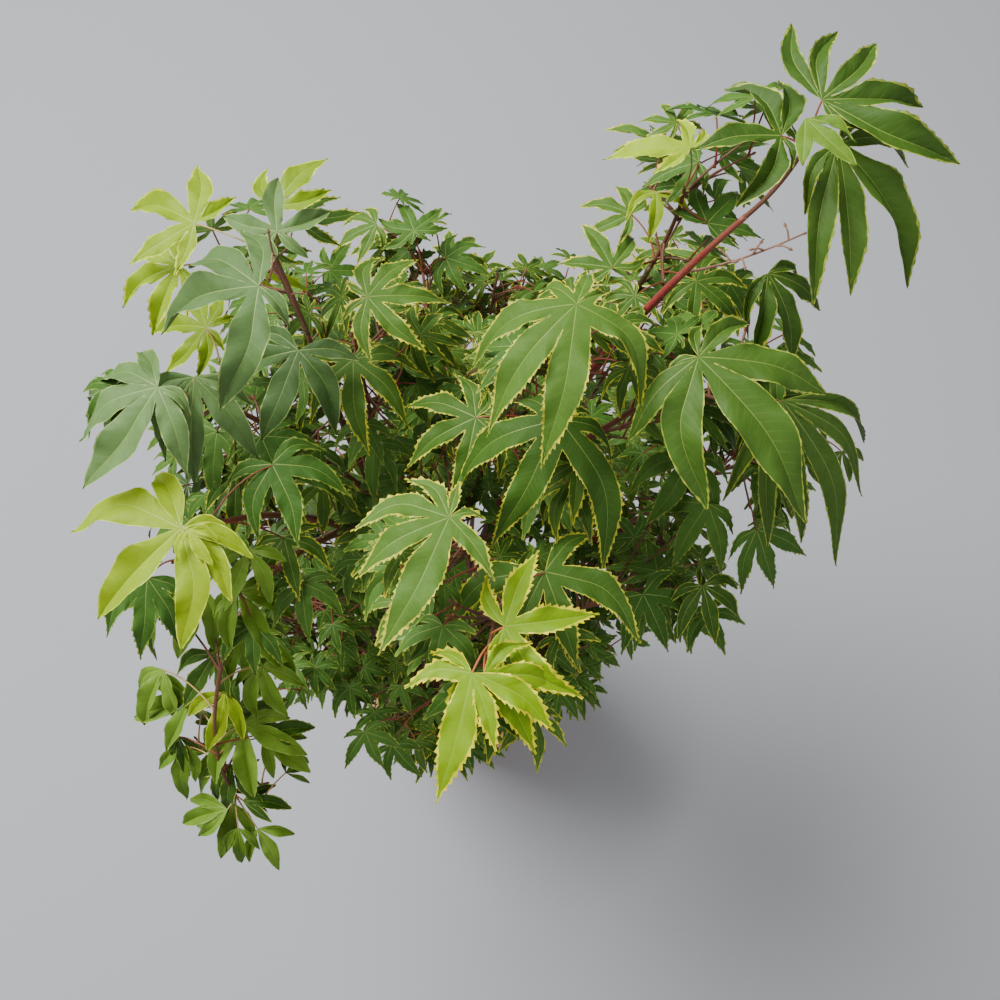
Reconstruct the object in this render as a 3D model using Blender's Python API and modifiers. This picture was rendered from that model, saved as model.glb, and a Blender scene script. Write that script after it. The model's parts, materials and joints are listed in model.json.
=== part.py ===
"""A small potted Japanese maple: pot, soil, trunk, boughs and separate masses of foliage.

Metres, +Z up. The origin is the middle of the pot's flat underside.
"""

import math
import random
from collections import namedtuple

import bmesh
import bpy
from mathutils import Matrix, Vector
from mathutils.bvhtree import BVHTree

GAP = 0.0003  # between pieces that touch

# Pot, turned
POT_HEIGHT = 0.210
POT_RIM_RADIUS = 0.113
POT_FOOT_RADIUS = 0.081
POT_WALL = 0.008
POT_FLOOR = 0.010
BAND_HEIGHT = 0.032
BAND_PROUD = 0.005
LIP_ROUND = 0.003
POT_STEPS = 30
DRAIN_RADIUS = 0.006
DRAIN_RING = 0.046
DRAIN_COUNT = 4

# Soil, and the trunk that stands on it
SOIL_BELOW_RIM = 0.022
SOIL_LEVEL = POT_HEIGHT - SOIL_BELOW_RIM
SOIL_DISH = 0.004  # how far the soil sinks towards the wall
SOIL_FLAT = 0.045  # level part round the trunk
TRUNK_TIP = Vector((0.006, -0.022, 0.400))
TRUNK_BEND = Vector((0.0, 0.004, 0.310))
TRUNK_THICK = 0.0110
TRUNK_THIN = 0.0082
FLARE_THICK = 0.0200
FLARE_HEIGHT = 0.030
FLARE_STEPS = 4
LIMB_STEP = 0.070  # about one bend point in a limb's length
LEAST_LIMB_STEPS = 3
TRUNK_BEVEL = 3  # a bevel of n has 4 + 2n sides
BOUGH_BEVEL = 1

# Boughs: parent, place along it, bend, tip and radius at the root
BOUGH_TIP_RADIUS = 0.0019
YOUNG_BOUGH = 0.0040  # a bough thinner than this at its root has young bark
Bough = namedtuple("Bough", "parent along bend tip thick")
BOUGHS = {
    "bough_right": Bough("trunk", 1.0, (0.038, -0.013, 0.800), (0.150, 0.026, 0.945), 0.0058),
    "bough_left": Bough("trunk", 1.0, (-0.035, -0.030, 0.620), (-0.058, 0.020, 0.850), 0.0055),
    "bough_front": Bough("bough_right", 0.16, (0.030, -0.080, 0.640), (0.040, -0.125, 0.840), 0.0042),
    "bough_front_centre": Bough("bough_front", 0.6, (0.020, -0.075, 0.770), (0.028, -0.085, 0.830), 0.0026),
    "bough_centre": Bough("bough_right", 0.50, (0.056, -0.026, 0.790), (0.066, -0.030, 0.840), 0.0028),
    "bough_right_side": Bough("bough_right", 0.46, (0.085, -0.015, 0.780), (0.118, -0.018, 0.850), 0.0030),
    "bough_right_inner": Bough("bough_right", 0.56, (0.098, 0.035, 0.800), (0.122, 0.060, 0.850), 0.0028),
    "bough_left_side": Bough("bough_left", 0.62, (-0.070, -0.014, 0.790), (-0.092, -0.020, 0.840), 0.0027),
    "bough_left_front": Bough("bough_left", 0.36, (-0.062, -0.034, 0.760), (-0.098, -0.085, 0.850), 0.0034),
    "bough_hanging": Bough("bough_left_front", 0.4, (-0.095, -0.09, 0.80), (-0.112, -0.135, 0.755), 0.0025),
    "bough_back_centre": Bough("bough_left", 0.48, (-0.034, 0.004, 0.720), (-0.034, 0.012, 0.780), 0.0028),
    "bough_back": Bough("trunk", 0.84, (-0.006, 0.070, 0.520), (-0.006, 0.105, 0.660), 0.0040),
    "bough_middle": Bough("bough_right", 0.22, (0.004, -0.034, 0.590), (0.006, -0.034, 0.660), 0.0028),
    "bough_low_front": Bough("trunk", 0.72, (0.000, -0.056, 0.410), (0.000, -0.075, 0.490), 0.0034),
    "bough_low_front_left": Bough("bough_left", 0.1, (-0.034, -0.048, 0.48), (-0.055, -0.058, 0.52), 0.003),
    "bough_low_left": Bough("bough_left", 0.24, (-0.055, -0.010, 0.540), (-0.085, 0.000, 0.580), 0.0030),
    "bough_low_back_left": Bough("trunk", 0.94, (-0.034, 0.034, 0.460), (-0.060, 0.060, 0.550), 0.0036),
    "bough_low_back": Bough("trunk", 0.62, (0.018, 0.056, 0.410), (0.022, 0.090, 0.520), 0.0036),
    "bough_low_back_right": Bough("bough_right", 0.12, (0.052, 0.03, 0.52), (0.085, 0.065, 0.58), 0.0034),
    "bough_low_right": Bough("bough_right", 0.28, (0.070, -0.012, 0.550), (0.108, -0.010, 0.600), 0.0032),
    "bough_low_front_right": Bough("trunk", 0.90, (0.036, -0.052, 0.450), (0.062, -0.062, 0.540), 0.0034),
}

# Leaves: joint, compass heading, fall of the middle lobe, roll (degrees), length of the middle lobe,
# number of lobes, angle between them (degrees) and how far they hang
Leaf = namedtuple("Leaf", "x y z heading fall roll length lobes spread hang")

# Masses: bough, tip of the leading shoot, how far leaves reach from the stem, leaves grown by the rule
# and their length, seed, and the leading leaves, which are set one by one
Mass = namedtuple("Mass", "bough shoot reach leaves length seed leaders")
MASSES = {
    "top_right": Mass("bough_right", (0.172, 0.044, 0.972), 0.085, 0, 0.045, 1, (
        Leaf(0.175, 0.055, 0.985, 40, 0, 0, 0.058, 5, 38, 0.35),
        Leaf(0.185, 0.045, 0.970, -62, 15, 0, 0.068, 5, 38, 0.65),
        Leaf(0.160, 0.045, 0.975, 185, -10, 0, 0.042, 5, 48, 0.35),
        Leaf(0.165, 0.035, 0.990, -118, 5, 0, 0.040, 3, 25, 0.20),
    )),
    "right_inner": Mass("bough_right_inner", (0.132, 0.070, 0.905), 0.075, 6, 0.048, 2, (
        Leaf(0.130, 0.070, 0.935, 130, 0, 0, 0.042, 5, 46, 0.40),
        Leaf(0.145, 0.060, 0.890, 50, 0, 0, 0.038, 5, 42, 0.40),
        Leaf(0.115, 0.100, 0.840, 150, 0, 0, 0.038, 5, 44, 0.50),
        Leaf(0.100, 0.050, 0.865, 110, 0, 0, 0.036, 5, 45, 0.40),
    )),
    "right": Mass("bough_right_side", (0.158, -0.030, 0.868), 0.085, 6, 0.052, 3, (
        Leaf(0.130, -0.030, 0.920, -36, 0, 5, 0.084, 7, 44, 0.55),
        Leaf(0.180, -0.030, 0.875, -72, 30, 0, 0.080, 7, 28, 0.90),
        Leaf(0.170, 0.025, 0.900, -50, 25, 0, 0.046, 5, 35, 0.70),
        Leaf(0.190, -0.050, 0.785, -72, 30, 0, 0.052, 5, 35, 0.80),
    )),
    "centre": Mass("bough_centre", (0.070, -0.024, 0.900), 0.070, 4, 0.044, 4, (
        Leaf(0.075, -0.015, 0.940, 226, -5, 0, 0.072, 7, 45, 0.75),
        Leaf(0.070, -0.045, 0.885, 240, 5, 0, 0.072, 7, 44, 0.75),
        Leaf(0.030, -0.030, 0.855, 205, 5, 0, 0.052, 7, 46, 0.50),
    )),
    "front_centre": Mass("bough_front_centre", (0.026, -0.094, 0.868), 0.070, 5, 0.042, 5, (
        Leaf(0.020, -0.100, 0.905, 248, -5, 0, 0.060, 7, 50, 0.35),
    )),
    "front": Mass("bough_front", (0.037, -0.150, 0.875), 0.070, 4, 0.042, 6, (
        Leaf(0.030, -0.165, 0.890, -103, 5, 0, 0.056, 5, 50, 0.35),
        Leaf(0.035, -0.165, 0.885, -52, 15, 0, 0.044, 5, 45, 0.30),
        Leaf(0.050, -0.148, 0.875, -5, 0, 0, 0.044, 5, 50, 0.25),
        Leaf(0.070, -0.115, 0.835, -30, 5, 0, 0.055, 7, 46, 0.45),
    )),
    "upper_left": Mass("bough_left", (-0.068, 0.040, 0.890), 0.080, 5, 0.042, 7, (
        Leaf(-0.065, 0.000, 0.930, 198, 0, 0, 0.056, 5, 47, 0.50),
        Leaf(-0.110, 0.060, 0.890, 150, 0, 0, 0.046, 5, 48, 0.35),
        Leaf(-0.120, 0.045, 0.875, 200, 5, 0, 0.046, 5, 40, 0.50),
        Leaf(-0.065, 0.045, 0.905, 95, -10, 0, 0.034, 5, 62, 0.35),
        Leaf(-0.075, 0.080, 0.875, 62, -10, 0, 0.046, 3, 45, 0.35),
        Leaf(-0.065, 0.085, 0.855, 10, 0, 0, 0.038, 3, 38, 0.30),
    )),
    "left": Mass("bough_left_side", (-0.108, -0.028, 0.874), 0.070, 4, 0.042, 8, (
        Leaf(-0.115, -0.035, 0.900, 220, 5, 0, 0.056, 7, 42, 0.55),
        Leaf(-0.105, -0.020, 0.880, -92, 20, 0, 0.054, 5, 34, 0.70),
        Leaf(-0.120, 0.040, 0.820, 170, 10, 0, 0.044, 7, 45, 0.50),
    )),
    "left_front": Mass("bough_left_front", (-0.106, -0.096, 0.862), 0.070, 5, 0.042, 9, (
        Leaf(-0.105, -0.095, 0.875, 224, 0, 0, 0.054, 7, 46, 0.45),
        Leaf(-0.070, -0.055, 0.855, -62, 5, 0, 0.048, 5, 46, 0.40),
        Leaf(-0.140, -0.100, 0.810, -100, 20, 0, 0.048, 5, 36, 0.70),
    )),
    "left_hanging": Mass("bough_hanging", (-0.122, -0.196, 0.655), 0.055, 5, 0.036, 10, (
        Leaf(-0.140, -0.145, 0.710, 195, 20, 0, 0.036, 5, 40, 0.50),
        Leaf(-0.110, -0.160, 0.705, -80, 20, 0, 0.036, 7, 46, 0.40),
        Leaf(-0.130, -0.170, 0.680, -125, 20, 0, 0.034, 5, 40, 0.60),
        Leaf(-0.125, -0.200, 0.645, -100, 25, 0, 0.038, 5, 42, 0.50),
        Leaf(-0.110, -0.215, 0.640, -60, 25, 0, 0.032, 5, 42, 0.50),
    )),
    "back_centre": Mass("bough_back_centre", (-0.034, 0.018, 0.840), 0.080, 5, 0.044, 11, (
        Leaf(-0.025, 0.030, 0.870, 2, 0, 0, 0.048, 7, 44, 0.45),
        Leaf(-0.060, 0.005, 0.860, 252, 10, 0, 0.052, 5, 50, 0.50),
        Leaf(-0.035, 0.010, 0.840, 270, 5, 0, 0.052, 7, 44, 0.50),
    )),
    "back": Mass("bough_back", (-0.010, 0.140, 0.715), 0.075, 10, 0.048, 12, (
        Leaf(-0.015, 0.160, 0.735, 110, 0, 0, 0.034, 7, 48, 0.35),
        Leaf(0.005, 0.155, 0.710, -15, 0, 0, 0.036, 7, 45, 0.50),
        Leaf(-0.040, 0.165, 0.735, 200, 5, 0, 0.036, 5, 40, 0.50),
    )),
    "middle": Mass("bough_middle", (0.020, -0.030, 0.800), 0.080, 11, 0.052, 13, ()),
    "low_front": Mass("bough_low_front", (0.000, -0.125, 0.600), 0.075, 11, 0.050, 14, ()),
    "low_front_left": Mass("bough_low_front_left", (-0.100, -0.085, 0.665), 0.075, 12, 0.050, 15, ()),
    "low_left": Mass("bough_low_left", (-0.145, 0.005, 0.730), 0.080, 13, 0.052, 16, ()),
    "low_back_left": Mass("bough_low_back_left", (-0.105, 0.110, 0.720), 0.085, 14, 0.054, 17, ()),
    "low_back": Mass("bough_low_back", (0.040, 0.160, 0.680), 0.085, 14, 0.054, 18, ()),
    "low_back_right": Mass("bough_low_back_right", (0.140, 0.105, 0.745), 0.085, 14, 0.054, 19, ()),
    "low_right": Mass("bough_low_right", (0.180, -0.010, 0.740), 0.080, 13, 0.052, 20, ()),
    "low_front_right": Mass("bough_low_front_right", (0.105, -0.085, 0.700), 0.075, 12, 0.050, 21, ()),
}

# Leaves that the rule grows
RULE_LOBES = 5
RULE_SPREAD = 46
LEAN_OUT, LEAN_ALONG, LEAN_UP = 0.8, 0.5, 0.45  # a petiole leaves its twig this way
PETIOLE_VARIES = (0.85, 1.20)
LENGTH_VARIES = (0.85, 1.10)
HEADING_VARIES = 20
ROLL_VARIES = 12
MOST_FALL = 20
HANG_RANGE = (0.35, 0.60)

# Shape of every leaf
HANG_SHORTENS = 0.25
HANG_DROPS = 0.50
# Lengths of the lobes beside the middle one, as shares of it
LOBE_LENGTHS = {3: (1.0, 0.75), 5: (1.0, 0.93, 0.62), 7: (1.0, 0.95, 0.78, 0.42)}
NOTCH = 0.42  # where two lobes part, as a share of their length
BACK_NOTCH = 0.20
PETIOLE_SINK = 0.05  # how far behind the joint the petiole ends inside the leaf
HUB_THICK = 0.045  # of the leaf's length
PETIOLE_RADIUS = 0.0006
PETIOLE_TIP_RADIUS = 0.0005
STEM_THIN = 0.0018
STEM_LEAD = 0.004  # straight length where a stem meets its bough
TWIG_RADIUS = 0.0016
NODE_INSET = 0.002  # of a twig's last pair of leaves, from its end
INTERNODE = 0.028
MOST_INTERNODES = 3
PETIOLE_LENGTH = 0.022
LONGEST_PETIOLE = 0.050
TWIG_SAG = 0.006
MOST_TWIGS = 60  # tried in each mass
GOLDEN_ANGLE = math.radians(137.5)
GOLDEN_SHARE = 0.618
CLEARANCE = 0.002  # kept between one mass and everything that isn't part of it
JOINT_SPACING = 0.014
TIP_REACH = 1.25  # how far past its mass's reach a lobe's tip may come
TWIG_START, TWIG_STRETCH = 0.15, 0.80  # share of the stem below the first twig, and with twigs
TWIG_WANDER = 0.4
TWIG_RISE = (-0.5, 0.6)
PAIR_TURN = 65  # degrees, every second pair of leaves round its twig
DOWN = Vector((0, 0, -1))

COLOURS = {  # base colour, roughness
    "clay": ((0.42, 0.17, 0.09), 0.85),
    "soil": ((0.045, 0.028, 0.018), 0.95),
    "bark": ((0.16, 0.10, 0.075), 0.85),
    "young_bark": ((0.30, 0.07, 0.04), 0.55),
    "leaf_green": ((0.075, 0.20, 0.035), 0.50),
    "leaf_bright": ((0.32, 0.48, 0.04), 0.50),
    "leaf_grey_green": ((0.12, 0.22, 0.09), 0.50),
}
BRIGHT_MASSES = ("front", "left_front")
GREY_MASSES = ("upper_left", "left", "left_hanging", "top_right")


def clear_scene():
    for obj in list(bpy.data.objects):
        bpy.data.objects.remove(obj, do_unlink=True)


def make_collection(name):
    collection = bpy.data.collections.new(name)
    bpy.context.scene.collection.children.link(collection)
    return collection


def make_material(name):
    colour, roughness = COLOURS[name]
    material = bpy.data.materials.new(name)
    material.use_nodes = True
    shader = material.node_tree.nodes["Principled BSDF"]
    shader.inputs["Base Color"].default_value = (*colour, 1)
    shader.inputs["Roughness"].default_value = roughness
    shader.inputs["Metallic"].default_value = 0
    material.diffuse_color = (*colour, 1)
    return material


def add_object(name, mesh, collection, material=None):
    obj = bpy.data.objects.new(name, mesh)
    collection.objects.link(obj)
    if material:
        mesh.materials.append(material)
    return obj


def mesh_from(bm, name):
    mesh = bpy.data.meshes.new(name)
    bm.to_mesh(mesh)
    bm.free()
    return mesh


def baked_mesh(obj, name):
    graph = bpy.context.evaluated_depsgraph_get()
    return bpy.data.meshes.new_from_object(obj.evaluated_get(graph), depsgraph=graph)


# Pot and soil


def turned(name, profile, collection, material):
    """A profile in the XZ plane, from the axis out, down its outer side and back, turned round Z."""
    mesh = bpy.data.meshes.new(name)
    points = [(radius, 0, height) for radius, height in profile]
    mesh.from_pydata(points, [(i, i + 1) for i in range(len(points) - 1)], [])
    obj = add_object(name, mesh, collection, material)
    screw = obj.modifiers.new("Turn", "SCREW")
    screw.steps = screw.render_steps = POT_STEPS
    screw.use_merge_vertices = True
    screw.merge_threshold = 0.00001
    screw.use_smooth_shade = False
    return obj


def inner_radius(height):
    """Radius of the pot's inside at a height."""
    share = height / POT_HEIGHT
    return POT_FOOT_RADIUS + (POT_RIM_RADIUS - POT_FOOT_RADIUS) * share - POT_WALL


def make_pot(collection, cutters):
    outer = POT_RIM_RADIUS
    band_foot = POT_HEIGHT - BAND_HEIGHT
    wall_at_band = inner_radius(band_foot) + POT_WALL
    profile = [
        (0, POT_FLOOR),
        (inner_radius(POT_FLOOR), POT_FLOOR),
        (inner_radius(POT_HEIGHT - LIP_ROUND), POT_HEIGHT - LIP_ROUND),
        (inner_radius(POT_HEIGHT) + LIP_ROUND, POT_HEIGHT),
        (outer + BAND_PROUD - LIP_ROUND, POT_HEIGHT),
        (outer + BAND_PROUD, POT_HEIGHT - LIP_ROUND),
        (wall_at_band + BAND_PROUD, band_foot + LIP_ROUND),
        (wall_at_band, band_foot),
        (POT_FOOT_RADIUS + LIP_ROUND / 2, LIP_ROUND),
        (POT_FOOT_RADIUS - LIP_ROUND, 0),
        (0, 0),
    ]
    pot = turned("pot", profile, collection, make_material("clay"))
    for i in range(DRAIN_COUNT):
        angle = math.tau * (i + 0.5) / DRAIN_COUNT
        bm = bmesh.new()
        size = {"radius1": DRAIN_RADIUS, "radius2": DRAIN_RADIUS, "depth": 3 * POT_FLOOR}
        bmesh.ops.create_cone(bm, cap_ends=True, segments=12, **size)
        drain = add_object(f"drain_{i + 1}", mesh_from(bm, "drain"), cutters)
        drain.location = (DRAIN_RING * math.cos(angle), DRAIN_RING * math.sin(angle), 0)
        drain.hide_render = True
        drain.display_type = "WIRE"
        cut = pot.modifiers.new(f"Drain {i + 1}", "BOOLEAN")
        cut.object = drain
        cut.operation = "DIFFERENCE"
    return pot


def make_soil(collection):
    base = POT_FLOOR + GAP
    edge = SOIL_LEVEL - SOIL_DISH
    profile = [
        (0, SOIL_LEVEL),
        (SOIL_FLAT, SOIL_LEVEL),
        (inner_radius(edge) - GAP, edge),
        (inner_radius(base) - GAP, base),
        (0, base),
    ]
    return turned("soil", profile, collection, make_material("soil"))


# Trunk and boughs


def bend_path(start, bend, tip):
    """Points on the smooth curve from start to tip that leans towards bend."""
    steps = max(LEAST_LIMB_STEPS, round((tip - start).length / LIMB_STEP))
    path = []
    for i in range(steps + 1):
        t = i / steps
        path.append(start * (1 - t) ** 2 + bend * 2 * t * (1 - t) + tip * t * t)
    return path


def taper(thick, thin, count):
    return [thick + (thin - thick) * i / (count - 1) for i in range(count)]


def trunk_line():
    """The trunk's points and radii, from its flat foot, through the flare, to the fork."""
    foot = Vector((0, 0, SOIL_LEVEL + GAP))
    path = bend_path(foot + Vector((0, 0, FLARE_HEIGHT)), TRUNK_BEND, TRUNK_TIP)
    radii = taper(TRUNK_THICK, TRUNK_THIN, len(path))
    flare_path = []
    flare_radii = []
    for i in range(FLARE_STEPS):
        share = i / FLARE_STEPS
        flare_path.append(foot + Vector((0, 0, FLARE_HEIGHT * share)))
        flare_radii.append(TRUNK_THICK + (FLARE_THICK - TRUNK_THICK) * (1 - share) ** 2)
    return flare_path + path, flare_radii + radii


def limb_lines():
    """Every limb's points and radii, each bough starting on its parent's middle line."""
    lines = {"trunk": trunk_line()}
    for name, bough in BOUGHS.items():
        parent = lines[bough.parent][0]
        start = point_along(parent, bough.along)
        path = bend_path(start, Vector(bough.bend), Vector(bough.tip))
        lines[name] = (path, taper(bough.thick, BOUGH_TIP_RADIUS, len(path)))
    return lines


def point_along(path, share):
    """The point at a share of the way along a path, by its number of points."""
    place = share * (len(path) - 1)
    index = min(int(place), len(path) - 2)
    return path[index].lerp(path[index + 1], place - index)


def tube(name, path, radii, bevel, collection, material=None):
    """A round tapering tube with closed ends, made as a beveled curve and turned into a mesh."""
    curve = bpy.data.curves.new(name, "CURVE")
    curve.dimensions = "3D"
    curve.bevel_depth = 1.0
    curve.bevel_resolution = bevel
    curve.use_fill_caps = True
    spline = curve.splines.new("POLY")
    spline.points.add(len(path) - 1)
    for point, place, radius in zip(spline.points, path, radii):
        point.co = (*place, 1)
        point.radius = radius
    holder = bpy.data.objects.new(name, curve)
    collection.objects.link(holder)
    bm = bmesh.new()
    bm.from_mesh(baked_mesh(holder, name))
    bmesh.ops.remove_doubles(bm, verts=bm.verts, dist=0.00001)
    bmesh.ops.recalc_face_normals(bm, faces=bm.faces)
    bpy.data.objects.remove(holder, do_unlink=True)
    return add_object(name, mesh_from(bm, name), collection, material)


def make_limbs(lines, collection, cutters):
    """The trunk and the boughs. Each bough is cut 0.3 mm clear of its parent and of older boughs on it."""
    bark = make_material("bark")
    young_bark = make_material("young_bark")
    limbs = {}
    keep_clear = {}
    for name, (path, radii) in lines.items():
        bevel = BOUGH_BEVEL if name in BOUGHS else TRUNK_BEVEL
        young = name in BOUGHS and BOUGHS[name].thick < YOUNG_BOUGH
        limb = tube(name, path, radii, bevel, collection, young_bark if young else bark)
        if name in BOUGHS:
            parent = BOUGHS[name].parent
            older = [other for other, row in BOUGHS.items() if other in limbs and row.parent == parent]
            for other in [parent, *older]:
                cut = limb.modifiers.new(f"Clear of {other}", "BOOLEAN")
                cut.object = keep_clear[other]
                cut.operation = "DIFFERENCE"
        wide = [radius + GAP for radius in radii]
        start = path[0] - (path[1] - path[0]).normalized() * radii[0]
        end = path[-1] + (path[-1] - path[-2]).normalized() * GAP
        cutter = tube(f"{name}_clear", [start, *path[1:-1], end], wide, bevel, cutters)
        cutter.hide_render = True
        cutter.display_type = "WIRE"
        keep_clear[name] = cutter
        limbs[name] = limb
    return limbs


# Leaves and twigs as points and faces


def heading_of(direction):
    return math.degrees(math.atan2(direction.y, direction.x))


def leaf_frame(leaf):
    """The joint, and the leaf's own forward, left and up."""
    heading, fall, roll = (math.radians(a) for a in (leaf.heading, leaf.fall, leaf.roll))
    level = Vector((math.cos(heading), math.sin(heading), 0))
    forward = level * math.cos(fall) + DOWN * math.sin(fall)
    left = Vector((-math.sin(heading), math.cos(heading), 0))
    up = forward.cross(left)
    turn = Matrix.Rotation(roll, 3, forward)
    return Vector((leaf.x, leaf.y, leaf.z)), forward, turn @ left, turn @ up


def lobe_point(leaf, frame, angle, length, share):
    """A point along a lobe that leaves the joint at an angle (degrees) and hangs under its weight."""
    joint, forward, left, _ = frame
    turn = math.radians(angle)
    out = (forward * math.cos(turn) + left * math.sin(turn)) * share
    out *= 1 - HANG_SHORTENS * leaf.hang * share
    return joint + length * (out + DOWN * HANG_DROPS * leaf.hang * share**2)


def leaf_rim(leaf, frame):
    """Lobe tips and notches in turn, starting with the middle lobe's tip."""
    half = leaf.lobes // 2
    lengths = [leaf.length * share for share in LOBE_LENGTHS[leaf.lobes]]
    rim = []
    for i in range(2 * leaf.lobes):
        lobe = i / 2 if i <= leaf.lobes else i / 2 - leaf.lobes
        if i == leaf.lobes:
            rim.append(lobe_point(leaf, frame, 180, leaf.length, BACK_NOTCH))
        elif i % 2 == 0:
            rim.append(lobe_point(leaf, frame, leaf.spread * lobe, lengths[abs(int(lobe))], 1))
        else:
            length = (lengths[min(half, int(abs(lobe) + 0.5))] + lengths[int(abs(lobe) - 0.5)]) / 2
            rim.append(lobe_point(leaf, frame, leaf.spread * lobe, length, NOTCH))
    return rim


def leaf_bmesh(leaf, extra=0):
    """A leaf: a two-sided cone with a star-shaped rim, thickest at its joint."""
    frame = leaf_frame(leaf)
    rim = leaf_rim(leaf, frame)
    hub = frame[3] * (HUB_THICK * leaf.length / 2 + extra)
    bm = bmesh.new()
    bmesh.ops.create_uvsphere(bm, u_segments=2 * leaf.lobes, v_segments=2, radius=1)
    for vert in bm.verts:
        if abs(vert.co.z) > 0.5:
            vert.co = frame[0] + hub * (1 if vert.co.z > 0 else -1)
        else:
            place = round(math.atan2(vert.co.y, vert.co.x) / math.pi * leaf.lobes)
            vert.co = rim[place % (2 * leaf.lobes)]
    return bm


def stick_bmesh(start, end, thick, thin):
    """A three-sided tapering stick."""
    bm = bmesh.new()
    length = (end - start).length
    turn = (end - start).to_track_quat("Z", "Y").to_matrix().to_4x4()
    place = Matrix.Translation((start + end) / 2) @ turn
    bmesh.ops.create_cone(
        bm, cap_ends=True, segments=3, radius1=thick, radius2=thin, depth=length, matrix=place
    )
    return bm


def tree_of(bms):
    """A search tree of several shapes, to see what touches them. It uses the shapes up."""
    points, faces = [], []
    for bm in bms:
        bm.verts.index_update()
        faces += [[len(points) + vert.index for vert in face.verts] for face in bm.faces]
        points += [vert.co.copy() for vert in bm.verts]
        bm.free()
    return BVHTree.FromPolygons(points, faces)


# Masses


def gap_to_segment(point, start, end):
    along = end - start
    share = max(0, min(1, (point - start).dot(along) / along.length_squared))
    return (point - start - along * share).length


class Space:
    """The room that a mass keeps to: within reach of its own stem, and nearer to it than to any other."""

    def __init__(self, lines):
        self.stems = {}
        for name, mass in MASSES.items():
            self.stems[name] = (lines[mass.bough][0][-1], Vector(mass.shoot), mass.reach)

    def share(self, name, point):
        start, end, reach = self.stems[name]
        return gap_to_segment(point, start, end) / reach

    def holds(self, name, point):
        own = self.share(name, point)
        return own <= 1 and own <= min(self.share(other, point) for other in self.stems)

    def holds_leaf(self, name, leaf):
        frame = leaf_frame(leaf)
        if any(self.share(name, tip) > TIP_REACH for tip in leaf_rim(leaf, frame)):
            return False
        return self.holds(name, lobe_point(leaf, frame, 0, leaf.length, 0.5))


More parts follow.
